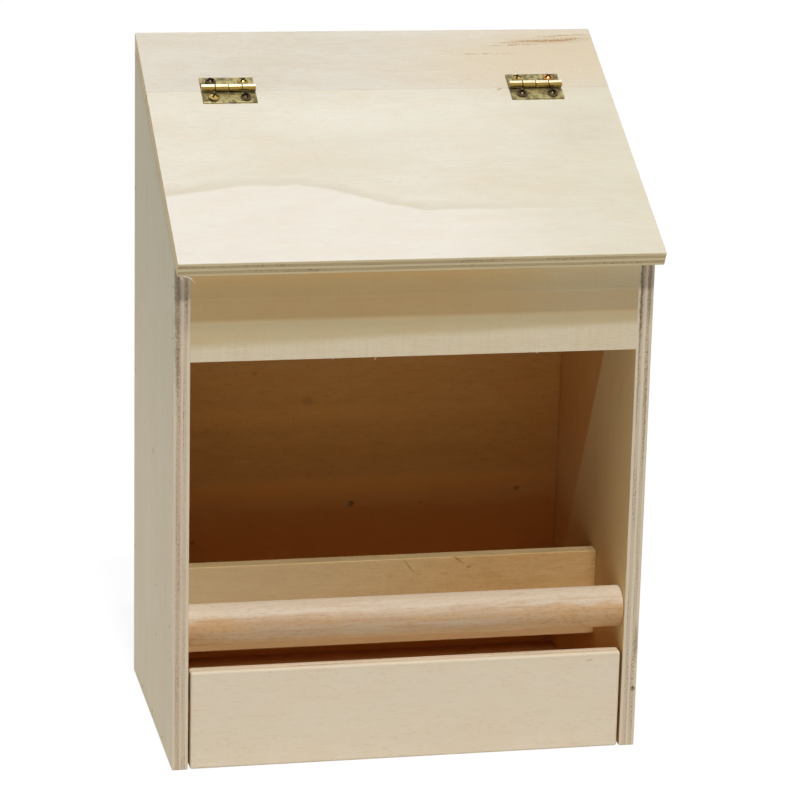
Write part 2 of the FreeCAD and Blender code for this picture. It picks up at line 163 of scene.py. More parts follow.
class FeederColours(PropertyGroup):
    """Colours of the woods and metals"""
    lid_pale: tone("Lid, pale", "Pale fibres of the lid's veneer", "F5F0E2")
    lid_deep: tone("Lid, deep", "Deeper fibres of the lid's veneer", "E6DDC8")
    sapwood: tone("Sapwood", "White sapwood along the lid's front", "F7F2E7")
    lid_rim: tone("Lid, rim", "Deeper wood that borders the lid's sapwood", "DBD0B8")
    strip_pale: tone("Strip, pale", "Pale fibres of the roof strip", "ECE6DA")
    strip_deep: tone("Strip, deep", "Deeper fibres of the roof strip", "DDD3C0")
    heartwood: tone("Heartwood", "Warm tan round the strip's right end", "E2CEAA")
    mineral: tone("Mineral streak", "Brown streaks in the roof strip", "B58A55")
    side_pale: tone("Sides, pale", "Pale fibres of the sides' outer veneer", "EADEC3")
    side_deep: tone("Sides, deep", "Deeper fibres of the sides' outer veneer", "D8C8A8")
    side_grey: tone("Sides, grey", "Greyer wood towards the top of the sides", "CAC5AB")
    front_pale: tone("Front, pale", "Pale fibres of the front board", "EEE1C9")
    front_deep: tone("Front, deep", "Deeper fibres of the front board", "E0CEB2")
    # Golden wood with painted warm shade, under the lid's overhang in the upper part of the fascia.
    fascia_gold: tone("Fascia, golden", "Golden wood in the upper part of the fascia", "EDCC90")
    # Painted shadow: a dark band that carries the lid's shadow down the fascia, where the front lamp still
    # lights it.
    fascia_deep: tone("Fascia, band", "Deeper band at the lower edge of the fascia's golden wood", "9F8258")
    blush: tone("Blush", "Pinkish tint in places of the veneers", "FFF6EE")
    zone_grain: tone("Grain", "Grain that shows through the toned parts of the boards", "DCC8AA")
    fascia_pale: tone("Fascia, pale", "Pale wood low on the fascia", "E6D9BD")
    fascia_dark: tone("Fascia, deep", "Deep wood low on the fascia", "D7C5A3")
    fascia_right: tone("Fascia, right", "Paler heartwood towards the fascia's right end", "E8D8B0")
    # Painted half shade: a second, softer shadow step between the golden and the pale part of the fascia.
    fascia_half: tone("Fascia, half", "Wood between the golden and the pale part of the fascia", "D0BD93")
    back_band: tone("Back, bands", "Paler growth bands across the back's inner face", "F4B055")
    # Painted light, paler low on the back's inner face.
    back_low: tone("Back, low", "Paler wood low on the back's inner face", "F8C276")
    lid_right: tone("Lid, right", "Yellower wood towards the lid's right end", "E6E0CA")
    # Golden wood of the sides' inner faces, and on the right side golden painted light low down beside the
    # rail.
    wall_gold: tone("Inner wall, golden", "Golden wood of the sides' inner faces", "ECD09A")
    # Paler wood of the sides' inner faces, and on the right side painted light ahead of a slanting shadow
    # line.
    wall_pale: tone("Wall, pale", "Paler wood of the sides' inner faces", "E8CC94")
    # Painted warm shade: the veneer inside the box is toned deep orange-brown.
    inner_pale: tone("Inside, pale", "Pale fibres of the veneer inside the box", "E2B06C")
    inner_deep: tone("Inside, deep", "Deeper fibres of the veneer inside the box", "CA924F")
    # Painted warm shade: the back's inner veneer is toned deep orange-brown.
    back_pale: tone("Back inside, pale", "Pale fibres of the back's inner veneer", "E0A755")
    back_deep: tone("Back inside, deep", "Deeper fibres of the back's inner veneer", "C78D45")
    # Wood without the painted warm shade, high inside the box.
    clean: tone("Inside, clean", "Clean wood high inside the box", "E4D0A6")
    # Painted warm shade: the floor's inner veneer is toned deep orange-brown.
    floor_pale: tone("Floor inside, pale", "Pale fibres of the floor's inner veneer", "DC9A56")
    floor_deep: tone("Floor inside, deep", "Deeper fibres of the floor's inner veneer", "C47C3C")
    rail_pale: tone("Rail, pale", "Pale fibres of the seed rail", "FFDDA0")
    rail_left: tone("Rail, left end", "Paler wood of the seed rail's left end", "FFEBBA")
    # Painted shadow of the perch, low on the seed rail.
    rail_low: tone("Rail, low", "Deeper wood low on the seed rail", "F4CC92")
    rail_edge: tone("Rail edge", "Plies on the edges of the seed rail", "CFAE72")
    rail_deep: tone("Rail, deep", "Deeper fibres of the seed rail", "E2AE64")
    ply_long: tone("Ply, long grain", "Plies cut along their fibres, seen on edge", "E4D5BC")
    ply_end: tone("Ply, end grain", "Plies cut across their fibres, seen on edge", "D2C0A4")
    lid_edge_long: tone("Lid edge, long", "Plies cut along the grain on the roof's edges", "F0E2B8")
    lid_edge_end: tone("Lid edge, end", "Plies cut across the grain on the roof's edges", "CDB68A")
    ply_core: tone("Core", "Pinkish rough core on the left side's front edge", "BC9C84")
    torn_dark: tone("Torn wood", "Torn gaps in the plies", "5E4420")
    glue_line: tone("Glue line", "Dark lines of glue between the plies", "8E7358")
    knot: tone("Pin knot", "Pin knots and scratches", "6E4A26")
    dowel_pale: tone("Dowel, pale", "Pale fibres of the perch", "D6C4AB")
    dowel_deep: tone("Dowel, deep", "Deeper fibres of the perch", "C29F7A")
    dowel_patch: tone("Dowel, patches", "Golden patches towards the ends of the perch", "CDA06A")
    # Painted warm shade along the underside of the perch.
    dowel_under_shade: tone("Dowel, golden", "Golden wood along the underside of the perch", "F0BC74")
    pore: tone("Dowel pores", "Short dark pores along the perch", "A87650")
    # The hinges' leaf tones are dulled plated brass, darkened further as painted dark reflection.
    brass_pale: tone("Brass, bright", "Bright plated brass of the hinges", "B3A676")
    brass_dull_and_reflection: tone("Brass, dull", "Dulled brass of the hinges", "6A6040")
    brass_worn: tone("Brass, worn", "Brass worn bright on the knuckles", "9C8142")
    # Painted highlight: a near-white stripe along the top of the hinges' knuckles.
    brass_painted_highlight: tone("Brass, shine", "Brass polished along the top of the knuckles", "FFF3D2")
    screw_grime: tone("Screws, grime", "Grime in the cross recesses", "241C14")
    screw_brass: tone("Screw, brass", "Brass plated screws", "B89C5C")
    screw_copper: tone("Screw, copper", "Screw whose plating has turned coppery", "C98A4C")
    # Dark bronze of oxidised screws, darkened further as painted dark reflection.
    screw_bronze_and_reflection: tone("Screw, bronze", "Screws darkened to bronze", "4A3E2E")
    nail_steel: tone("Nail", "Heads of the pin nails", "9A968E")
    glue: tone("Glue", "Dried wood glue", "DDBE85")
    floor: tone("Floor", "Pale studio floor", "E4E4E4")


class FeederStudio(PropertyGroup):
    """Lights of the studio"""
    key_power: strength("Key", "lamp high in front", 1.08)
    front_power: strength("Front fill", "soft light in front", 1.62)
    side_power: strength("Side fill", "soft lights at the sides", 0.6)
    back_power: strength("Back fill", "soft light behind", 1.2)
    ambient: strength("Ambient", "light from all round", 0.03)


# Making meshes

def new_piece(name, bm, body, nodes):
    """Make an object of a bmesh that rides on a body and stands for CAD nodes."""
    if name in bpy.data.objects:
        raise RuntimeError("the piece is there already: " + name)
    mesh = bpy.data.meshes.new(name)
    bm.to_mesh(mesh)
    bm.free()
    piece = bpy.data.objects.new(name, mesh)
    bpy.context.scene.collection.objects.link(piece)
    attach(piece, body)
    if nodes:
        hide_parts(*nodes)
    return piece


def smooth(piece, degrees):
    """Shade a piece smooth but for edges sharper than an angle, flat faces staying flat."""
    piece.data.shade_smooth()
    piece.data.set_sharp_from_angle(angle=math.radians(degrees))
    weighted = piece.modifiers.new("even_normals", "WEIGHTED_NORMAL")
    weighted.keep_sharp = True


def cut(piece, cutter):
    """Cut a bmesh out of a piece."""
    mesh = bpy.data.meshes.new("cutter")
    cutter.to_mesh(mesh)
    cutter.free()
    tool = bpy.data.objects.new("cutter", mesh)
    bpy.context.scene.collection.objects.link(tool)
    boolean = piece.modifiers.new("cut", "BOOLEAN")
    boolean.object = tool
    boolean.operation = "DIFFERENCE"
    boolean.solver = "EXACT"
    made = bpy.data.meshes.new_from_object(piece.evaluated_get(bpy.context.evaluated_depsgraph_get()))
    if not made.polygons:
        raise RuntimeError("nothing is left of " + piece.name)
    piece.modifiers.remove(boolean)
    old, piece.data = piece.data, made
    made.name = piece.name
    bpy.data.meshes.remove(old)
    bpy.data.objects.remove(tool)
    bpy.data.meshes.remove(mesh)


def add_loft(bm, rings):
    """Add a closed skin over rings of CAD points. The first and last ring may be a single point."""
    loops = [[bm.verts.new(Vector(p) * MM) for p in ring] for ring in rings]
    faces = []
    for low, high in zip(loops, loops[1:]):
        count = max(len(low), len(high))
        for i in range(count):
            j = (i + 1) % count
            if len(low) == 1:
                faces.append(bm.faces.new((low[0], high[i], high[j])))
            elif len(high) == 1:
                faces.append(bm.faces.new((low[j], low[i], high[0])))
            else:
                faces.append(bm.faces.new((low[j], low[i], high[i], high[j])))
    for end in (loops[0], loops[-1]):
        if len(end) > 1:
            faces.append(bm.faces.new(end))
    bmesh.ops.recalc_face_normals(bm, faces=faces)


def add_prism(bm, corners, sweep):
    """Add a prism of a polygon of CAD points, swept along a vector."""
    ends = (Vector(), Vector(sweep))
    near, far = [[bm.verts.new((Vector(p) + end) * MM) for p in corners] for end in ends]
    faces = [bm.faces.new(near), bm.faces.new(reversed(far))]
    for i in range(len(corners)):
        j = (i + 1) % len(corners)
        faces.append(bm.faces.new((near[j], near[i], far[i], far[j])))
    bmesh.ops.recalc_face_normals(bm, faces=faces)


def add_turned(bm, profile, place, segments):
    """Add a turned solid: profile is its (along, radius) points, and place maps it into the CAD."""
    turns = [math.tau * i / segments for i in range(segments)]
    add_loft(bm, [
        [place @ Vector((r * math.cos(a), r * math.sin(a), along)) for a in (turns if r else turns[:1])]
        for along, r in profile
    ])


def ease(bm, radius, segments, sharper_than, kept=None):
    """Round the edges that turn by more than an angle, but for those kept as sawn."""
    edges = [
        e for e in bm.edges
        if len(e.link_faces) == 2 and e.calc_face_angle() > math.radians(sharper_than)
        and not (kept and all(kept(v.co / MM) for v in e.verts))
    ]
    bmesh.ops.bevel(
        bm, geom=edges, offset=radius, offset_type="OFFSET", segments=segments,
        profile=0.5, affect="EDGES", clamp_overlap=True,
    )


def along_axis(base, direction):
    """Matrix that puts a turned solid's length along a direction, its start at base."""
    return Matrix.Translation(base) @ Vector(direction).to_track_quat("Z", "Y").to_matrix().to_4x4()


def board(name, body, node, profile, ease_radius, kept=None):
    """Make a board swept along x over its node's width: profile is its (y, z) corners."""
    low, high = node_box(node)
    bm = bmesh.new()
    add_prism(bm, [(low.x, y, z) for y, z in profile], (high.x - low.x, 0, 0))
    ease(bm, ease_radius, segments=3, sharper_than=30, kept=kept)
    return new_piece(name, bm, body, [node])


def upright_profile(node):
    """The (y, z) corners of a node that is a box, or a box whose top follows the roof."""
    low, high = node_box(node)
    return [(low.y, low.z), (high.y, low.z), (high.y, high.z), (low.y, top_at(node, low.y))]


# Pin nails of each group: how many stand in a row, and along which axis the row runs.
NAIL_ROWS = {
    "fascia_pins": (2, 2), "rail_pins": (2, 2), "perch_pins": (1, 2),
    "floor_pins": (3, 1), "back_pins": (3, 2),
}
# How far a cutter starts outside the wood.
CUT_PAST = 1


def nail_cutter(groups, diameter):
    """Holes for the nails of some groups, from outside both sides to the nails' points."""
    bm = bmesh.new()
    radius = diameter / MM / 2
    for group in groups:
        low, high = node_box(group)
        depth = high.x - min(abs(p.x) for p in node_points(group))
        count, axis = NAIL_ROWS[group]
        nail = (high.y - low.y if axis == 2 else high.z - low.z) / 2
        for index in range(count):
            spot = (low + high) / 2
            if count > 1:
                spot[axis] = low[axis] + nail + index * (high[axis] - low[axis] - 2 * nail) / (count - 1)
            for _, sign in SIDES:
                start = Vector((sign * (high.x + CUT_PAST), spot.y, spot.z))
                hole = [(0, radius), (depth + CUT_PAST, radius)]
                add_turned(bm, hole, along_axis(start, (-sign, 0, 0)), segments=16)
    return bm


# Materials

# Settings of every node of a kind, and a colour mix's sockets: its factor and two colours, and its result.
USUAL = {"Mix": {"data_type": "RGBA"}, "MapRange": {"interpolation_type": "SMOOTHSTEP"}}
MIX_INPUTS, MIX_RESULT = (0, 6, 7), 2


def add(tree, kind, links=(), operation=None, out=0, **settings):
    """Add a node with its settings and links, and give one of its outputs.

    Links are values or other nodes' outputs, by the names of the inputs or in their order.
    """
    made = tree.nodes.new("ShaderNode" + kind)
    if operation:
        made.operation = operation
    for key, value in {**USUAL.get(kind, {}), **settings}.items():
        setattr(made, key, value)
    if not isinstance(links, dict):
        links = dict(zip(MIX_INPUTS if kind == "Mix" else range(len(links)), links))
    for key, value in links.items():
        if isinstance(value, bpy.types.NodeSocket):
            tree.links.new(value, made.inputs[key])
        else:
            made.inputs[key].default_value = value
    if kind == "Mix":
        out = MIX_RESULT
    return made.outputs[out] if made.outputs else made


def new_material(name):
    """An empty node material, and what adds a node to it."""
    material = bpy.data.materials.new(name)
    material.use_nodes = True
    material.node_tree.nodes.clear()
    return material, partial(add, material.node_tree)


def finish_material(node, links):
    """Close a material with one principled shader."""
    node("OutputMaterial", {"Surface": node("BsdfPrincipled", links)})


def board_place(node, centre, axes):
    """Where a point lies on a board, in mm along the grain, across it and through the board."""
    here = node("VectorMath", (node("TexCoord", out="Object"), Vector(centre) * MM), "SUBTRACT")
    parts = [node("VectorMath", (here, Vector(axis) / MM), "DOT_PRODUCT", out="Value") for axis in axes]
    return parts, node("CombineXYZ", parts)


def streaks(node, place, spacing, seed, detail=2.0, roughness=0.55, distortion=0.0):
    """Noise drawn out to a spacing in mm along the grain, across it and through the board."""
    shift = (seed, seed * 1.7, seed * 0.6)
    return node("TexNoise", {
        "Vector": node("VectorMath", (place, [1 / s for s in spacing], shift), "MULTIPLY_ADD"),
        "Scale": 1.0, "Detail": detail, "Roughness": roughness, "Distortion": distortion,
    })


# A measure of a place on a board, in mm: shares of its way along the grain, across it and through the board,
# a wander as its reach, spacing, seed and detail, and bends, each easing along the grain from a start to an
# end and from one offset to another.
Measure = namedtuple("Measure", "shares wander bends", defaults=((), ()))
ALONG, ACROSS = Measure((1, 0, 0)), Measure((0, 1, 0))
WALL_SLANT = Measure((1, 1.975, 0))
FASCIA_LEVEL = Measure((0, 1, 0), (1.2, (30, 3, 10), 61.0, 1.0))
FASCIA_RISE = Measure((-0.029, 1, 0), (1.5, (30, 3, 10), 71.0, 1.0))
FASCIA_END = Measure((1, 0, 0), (30.0, (14, 8, 10), 79.0, 2.0))
LID_END = Measure((1, 0, 0), (40.0, (30, 14, 10), 57.0, 2.0))
SAPWOOD_LINE = Measure(
    (0, 1, 0), (-2.0, (9, 4, 10), 51.0, 2.0), ((-36, 8, -29.6, -16.6), (-80, -48, 4.5, 0.0)),
)


def measured(node, measure, along, place):
    """Value of a measure at a place on a board."""
    way = node("VectorMath", (place, measure.shares), "DOT_PRODUCT", out="Value")
    if measure.wander:
        reach, *pattern = measure.wander
        way = node("Math", (streaks(node, place, *pattern), reach, way), "MULTIPLY_ADD")
    for bend in measure.bends:
        way = node("Math", (way, node("MapRange", (along, *bend))), "ADD")
    return way


# A board's finish, its tones by name: the pale and deep tone of its face and of its back, the tones of its
# long and cut plies, the seed of its figure, and the contrast of the figure and of the knife's lines.
# Its marks are (along, across, through, half length, half width, half depth, turn in degrees, softness,
# strength, tone). Its zones are (tone, whether it is on the face, parts). A part is a measure and the ramps
# that it is eased by, each from a start to an end and from one strength to another, and all are multiplied.
Finish = namedtuple("Finish", "face back edge seed contrast checks marks zones", defaults=(1.0, 0.0, (), ()))
PLIES = 5
FACE = THICK / 2
# The tones inside the box carry painted warm shade.
SIDE_TONES, SHADED_INNER_TONES = ("side_pale", "side_deep"), ("inner_pale", "inner_deep")
PLY_TONES, ROOF_EDGE = ("ply_long", "ply_end"), ("lid_edge_long", "lid_edge_end")
GREY_TOP = ("side_grey", True, (ALONG, (70, 190, 0.0, 0.75)))

FINISHES = {
    # A pin knot, a rough core down the front edge, and torn plies at its top.
    "left_side": Finish(SIDE_TONES, ("wall_gold", "wall_pale"), PLY_TONES, 2.0, 0.5, marks=(
        (91, 46, FACE, 1.1, 0.8, 1, 0, 0.4, 0.7, "knot"),
        (66, 0, 0.85, 90, 1.5, 1.0, 0, 0.5, 0.5, "ply_core"),
        (150, 0, 1.5, 26, 1.5, 0.8, 0, 0.5, 0.55, "torn_dark"),
        (150, 0, -1.3, 10, 1.5, 0.6, 0, 0.6, 0.25, "torn_dark"),
    ), zones=(GREY_TOP,)),
    # Torn plies down the front edge. Inside, under painted warm shade, painted light that is paler ahead of a
    # slanting shadow line and golden low down beside the rail, and unshaded wood high up.
    "right_side": Finish(SIDE_TONES, SHADED_INNER_TONES, PLY_TONES, 13.0, 0.5, marks=[
        (z, 0, through, half, 1.5, depth, 0, softness, power, colour)
        for z, through, half, depth, softness, power, colour in (
            (150, -1.4, 17, 0.45, 0.5, 0.8, "torn_dark"), (153, 1.1, 12, 0.6, 0.5, 0.6, "torn_dark"),
            (122, -1.4, 14, 0.3, 0.6, 0.5, "torn_dark"), (112, 1.2, 20, 0.35, 0.6, 0.4, "knot"),
            (35, 1.7, 5.5, 0.5, 0.6, 0.55, "knot"), (19.5, 1.4, 0.9, 0.5, 0.3, 1.0, "torn_dark"),
        )
    ], zones=(
        GREY_TOP,
        # Painted light ahead of a slanting shadow line.
        ("wall_pale", False, (WALL_SLANT, (190.5, 194.5, 1.0, 0.0)), (ALONG, (26, 44, 0.4, 1.0))),
        # Golden painted light low down beside the rail.
        ("wall_gold", False, (ACROSS, (4, 22, 0.0, 1.0)), (ALONG, (28, 46, 0.0, 1.0), (95, 60, 0.0, 0.6))),
        ("clean", False, (ALONG, (120, 175, 0.0, 0.95))),
    )),
    # Pin knots and two growth bands inside, on a veneer toned with painted warm shade, with paler painted
    # light low down and unshaded wood high up.
    "back": Finish(SIDE_TONES, ("back_pale", "back_deep"), PLY_TONES, 5.0, 0.6, marks=[
        (x, z, -FACE, size, size * 0.8, 1, 0, 0.5, power, "knot")
        for x, z, size, power in (
            (-2, 57.7, 1.2, 0.85), (56, 60.9, 1.0, 0.6), (22.3, 57.2, 0.6, 0.35),
            (-35.2, 104.2, 0.9, 0.3), (-17.3, 94.1, 2.0, 0.22), (-56, 46, 1.0, 0.4),
        )
    ] + [
        (-40, 89.0, -FACE, 70, 3.2, 1, 1, 0.7, 0.3, "back_band"),
        (-30, 63.2, -FACE, 90, 3.2, 1, 1, 0.7, 0.8, "back_band"),
    ], zones=(
        # Painted light low on the back's inner face.
        ("back_low", False, (ACROSS, (52, 76, 1.0, 0.0))),
        ("clean", False, (ACROSS, (100, 165, 0.0, 0.95))),
    )),
    # The floor's inner face carries painted warm shade.
    "floor": Finish(("floor_pale", "floor_deep"), SIDE_TONES, PLY_TONES, 8.0),
    # One brown streak to the right.
    "front": Finish(("front_pale", "front_deep"), SHADED_INNER_TONES, PLY_TONES, 21.0, 0.4, 0.15, (
        (59.2, 29.8, FACE, 1.0, 0.3, 1, 20, 0.6, 0.4, "mineral"),
    )),
    # Golden wood with painted warm shade above the level line of the lid's shadow, paler towards the right,
    # with a painted shadow band along its lower edge, and below it painted half shade above a line that rises
    # to the right.
    "fascia": Finish(("fascia_pale", "fascia_dark"), SHADED_INNER_TONES, PLY_TONES, 34.0, 0.5, 0.6, zones=(
        # Painted half shade below the golden part, above a line that rises to the right.
        ("fascia_half", True, (FASCIA_RISE, (137.4, 140.8, 0.0, 0.95))),
        # Golden wood with painted warm shade above the lid's shadow line.
        ("fascia_gold", True, (FASCIA_LEVEL, (143.6, 146.2, 0.0, 0.95))),
        ("fascia_right", True, (FASCIA_END, (25, 80, 0.0, 0.9)), (ACROSS, (143.5, 145.5, 0.0, 1.0))),
        # Painted shadow band between the key lamp's and the front lamp's shadow lines of the lid.
        ("fascia_deep", True, (ACROSS, (143.4, 145.2, 0.0, 1.0), (150.1, 152.4, 0.6, 0.0))),
    )),
    # Scratches along the top, a paler left end, and the perch's painted shadow low down.
    "rail": Finish(("rail_pale", "rail_deep"), SHADED_INNER_TONES, ("rail_edge", "lid_edge_end"), 27.0, 0.8, marks=(
        (7.2, 52.0, FACE, 2.8, 0.3, 1, -50, 0.6, 0.5, "knot"),
        (23.6, 53.6, FACE, 1.8, 0.3, 1, -40, 0.6, 0.5, "knot"),
        (27.0, 51.2, FACE, 0.7, 0.4, 1, 0, 0.6, 0.5, "knot"),
    ), zones=(
        ("rail_left", True, (ALONG, (-75, 45, 0.9, 0.0))),
        # Painted shadow of the perch on the rail's low part.
        ("rail_low", True, (ACROSS, (37, 31, 0.0, 0.9))),
    )),
    # Warm heartwood round the right end, with mineral streaks.
    "roof_strip": Finish(("strip_pale", "strip_deep"), SIDE_TONES, ROOF_EDGE, 41.0, marks=[
        (62, 92, FACE, 46, 16, 1.5, 6, 0.7, 0.75, "heartwood"),
        (63, 101.9, FACE, 13, 1.6, 1, 3, 0.7, 0.35, "mineral"),
    ] + [
        (x, run, FACE, half_length, half_width, 1, turn, 0.6, power, "mineral")
        for x, run, half_length, half_width, turn, power in (
            (54.6, 101.8, 4.5, 0.35, 1, 0.75), (62.8, 101.8, 6.5, 0.5, 3, 0.9),
            (69.4, 102.7, 2.5, 0.35, 4, 0.8), (48, 101, 4.5, 0.3, 3, 0.5),
            (43, 99.4, 3.0, 0.25, 3, 0.45), (48.7, 99.7, 1.8, 0.4, 4, 0.8),
            (53, 99.9, 3.5, 0.25, 1, 0.4), (65, 104.4, 6.5, 0.3, 4, 0.65),
            (73, 104.8, 3.5, 0.3, 0, 0.35), (33.2, 95.1, 2.4, 0.3, 0, 0.6),
            (38.5, 95.1, 0.6, 0.35, 0, 0.5), (43, 95.1, 5.0, 0.25, 0, 0.3),
        )
    ]),
    # Soft blotches, a chip, and two dark spots on the plies of the left end. White sapwood lies along the
    # front, bordered by deeper wood, and the right end is yellower.
    "lid": Finish(("lid_pale", "lid_deep"), SIDE_TONES, ROOF_EDGE, 47.0, 0.8, marks=[
        (x, run, FACE, half_length, half_width, 1.5, turn, softness, power, colour)
        for x, run, half_length, half_width, turn, softness, power, colour in (
            (-10, 45, 42, 11, 10, 0.6, 0.4, "lid_deep"), (-29, 43, 14, 6, 4, 0.8, 0.2, "heartwood"),
            (32, 28, 18, 7, 5, 0.8, 0.2, "heartwood"), (62, 56, 12, 9, 0, 0.8, 0.12, "ply_core"),
            (-15, 62, 24, 6, 3, 0.8, 0.5, "lid_pale"), (-48, 52, 16, 5, -4, 0.8, 0.15, "heartwood"),
        )
    ] + [
        (40.3, 76.6, FACE, 1.3, 0.5, 1, 20, 0.6, 0.7, "mineral"),
        (40.7, 76.3, FACE, 0.9, 0.3, 1, 20, 0.4, 0.9, "sapwood"),
        (-75, 69.6, 1.0, 0.9, 0.5, 1.5, 0, 0.5, 0.8, "knot"),
        (-75, 75.4, 1.0, 0.9, 0.5, 1.5, 0, 0.5, 0.8, "knot"),
    ], zones=(
        (
            "lid_rim", True,
            (SAPWOOD_LINE, (-1.2, 0.0, 0.0, 1.0), (0.5, 5.0, 0.4, 0.0)), (ALONG, (5, 60, 1.0, 0.2)),
        ),
        ("sapwood", True, (SAPWOOD_LINE, (-0.2, -1.4, 0.0, 1.0)), (ALONG, (10, 70, 0.95, 0.35))),
        ("lid_right", True, (LID_END, (25, 95, 0.0, 0.7))),
    )),
}


# Sanded rotary-cut plywood, unfinished: a matt pale veneer with fine fibres and slow growth bands,
# and five plies on its edges, where those cut across the grain are browner and rough.
def plywood(key, centre, axes, colours):
    """Material of one board, with axes along its grain, across it and out of its face."""
    finish = FINISHES[key]
    tones = {name: getattr(colours, name) for name in colours.__annotations__}
    seed, contrast = finish.seed, finish.contrast
    material, node = new_material("sanded_plywood_" + key)
    (along, _, through), place = board_place(node, centre, axes)
    normal = node("TexCoord", out="Normal")
    turn = [node("VectorMath", (normal, axis), "DOT_PRODUCT", out="Value") for axis in axes]
    cut_along, cut_across, cut_flat = [node("Math", (part,), "ABSOLUTE") for part in turn]
    # Fibres 0.7 mm wide, mottles 9 by 3 mm, growth bands 8 mm wide, blotches 60 by 26 mm, grit 0.6 mm, knife
    # lines 0.9 mm apart and flecks 0.5 mm wide: the real fibres, grit and flecks are finer still.
    fibres = streaks(node, place, (7, 0.7, 0.8), seed, 3.0, 0.6)
    mottles = streaks(node, place, (9, 3, 5), seed + 5, 3.0, 0.6, 0.5)
    bands = streaks(node, place, (150, 8, 3), seed + 3, 2.0, 0.5, 0.4)
    blotches = streaks(node, place, (60, 26, 10), seed + 7, 1.0)
    grit = streaks(node, place, (0.8, 0.6, 0.6), seed + 9, 1.0)
    knife = streaks(node, place, (0.9, 14, 3), seed + 13, 2.0)
    flecks = streaks(node, place, (3.0, 0.5, 0.6), seed + 11, 1.0)
    figure = 0.5
    for pattern, share in (
        (fibres, 0.75 * contrast), (mottles, 0.8 * contrast), (bands, 0.6 * contrast),
        (blotches, 0.7 * contrast), (grit, 0.35), (knife, finish.checks),
    ):
        figure = node("Math", (figure, share / 2), "SUBTRACT")
        figure = node("Math", (pattern, share, figure), "MULTIPLY_ADD")
    fleck = node("MapRange", (flecks, 0.58, 0.72, 0.0, 0.36))
    figure = node("Math", (figure, fleck), "ADD", use_clamp=True)
    outer, inner = [node("Mix", (figure, tones[a], tones[b])) for a, b in (finish.face, finish.back)]
    on_front = node("Math", (turn[2], 0.0), "GREATER_THAN")
    on_back = node("Math", (1.0, on_front), "SUBTRACT")
    colour = node("Mix", (on_front, inner, outer))
    grain = node("Math", (figure, 0.25), "MULTIPLY")
    for zone, on_face, *parts in finish.zones:
        share = on_front if on_face else on_back
        for measure, *ramps in parts:
            way = measured(node, measure, along, place)
            for ramp in ramps:
                share = node("Math", (share, node("MapRange", (way, *ramp))), "MULTIPLY")
        grained = node("Mix", (grain, tones[zone], tones["zone_grain"]), blend_type="MULTIPLY")
        colour = node("Mix", (share, colour, grained))
    # Pinkish blushes 16 by 7 mm.
    blush = node("MapRange", (streaks(node, place, (16, 7, 9), seed + 31, 2.0), 0.42, 0.66, 0.0, 0.28))
    colour = node("Mix", (blush, colour, tones["blush"]), blend_type="MULTIPLY")
    # Plies on the edges: every second one has its fibres across the board.
    layer = node("Math", (through, PLIES / THICK, PLIES / 2), "MULTIPLY_ADD")
    odd = node("Math", (node("Math", (layer,), "FLOOR"), 2.0), "MODULO")
    swing = node("Math", (cut_across, cut_along), "SUBTRACT")
    ended = node("MapRange", (node("Math", (odd, swing, cut_along), "MULTIPLY_ADD"), 0.4, 0.85))
    # Specks 0.8 mm across in stretches 26 mm long, where the saw tore the plies.
    specks = streaks(node, place, (0.8, 0.8, 0.4), seed + 17, 2.0)
    stretches = streaks(node, place, (26, 26, 1.4), seed + 29, 1.0)
    ragged_cut = node("MapRange", (stretches, 0.46, 0.64, 0.15, 1.0))
    torn = node("Math", (node("MapRange", (specks, 0.45, 0.68)), ragged_cut), "MULTIPLY")
    long_tone, end_tone = [tones[name] for name in finish.edge]
    tint = node("Math", (streaks(node, place, (40, 40, 0.9), seed + 23, 1.0), 0.7), "MULTIPLY")
    long_ply = node("Mix", (tint, long_tone, end_tone))
    end_ply = node("Mix", (node("Math", (torn, 0.8), "MULTIPLY"), end_tone, tones["glue_line"]))
    ply = node("Mix", (ended, long_ply, end_ply))
    joint = node("Math", (node("Math", (layer,), "FRACT"), 0.5), "SUBTRACT")
    joint = node("MapRange", (node("Math", (joint,), "ABSOLUTE"), 0.36, 0.5, 0.0, 0.6))
    ply = node("Mix", (node("Math", (joint, ragged_cut), "MULTIPLY"), ply, tones["glue_line"]))
    on_edge = node("MapRange", (cut_flat, 0.55, 0.9, 1.0, 0.0))
    colour = node("Mix", (on_edge, colour, ply))
    # Marks are speckled, and frayed in tufts of 2 mm by up to 1.5 mm along the grain and 0.4 mm across it.
    frayed = node("TexNoise", {"Vector": place, "Scale": 0.5, "Detail": 4.0, "Roughness": 0.65}, out="Color")
    frayed = node("VectorMath", (frayed, (0.5, 0.5, 0.5)), "SUBTRACT")
    frayed = node("VectorMath", (frayed, (3.0, 0.8, 1.0), place), "MULTIPLY_ADD")
    speckle = node("MapRange", (specks, 0.36, 0.56, 0.5, 1.0))
    for u, v, w, half_length, half_width, half_depth, angle, softness, power, mark in finish.marks:
        spot = node("Mapping", {
            "Vector": frayed, "Location": (u, v, w), "Rotation": (0, 0, math.radians(angle)),
            "Scale": (half_length, half_width, half_depth),
        }, vector_type="TEXTURE")
        reach = node("VectorMath", (spot,), "LENGTH", out="Value")
        mask = node("MapRange", (reach, 1 - softness, 1 + softness, power, 0.0))
        colour = node("Mix", (node("Math", (mask, speckle), "MULTIPLY"), colour, tones[mark]))
    # Relief: raised fibres and open flecks on the faces, torn fibres on the end grain.
    relief = node("Math", (fleck, -0.8, fibres), "MULTIPLY_ADD")
    relief = node("Math", (node("Math", (torn, on_edge), "MULTIPLY"), -0.9, relief), "MULTIPLY_ADD")
    finish_material(node, {
        "Base Color": colour, "Roughness": node("MapRange", (fibres, 0.2, 0.8, 0.58, 0.74)),
        "IOR": 1.45, "Specular IOR Level": 0.3,
        "Normal": node("Bump", {"Strength": 0.35, "Distance": 0.06 * MM, "Height": relief}),
    })
    return material


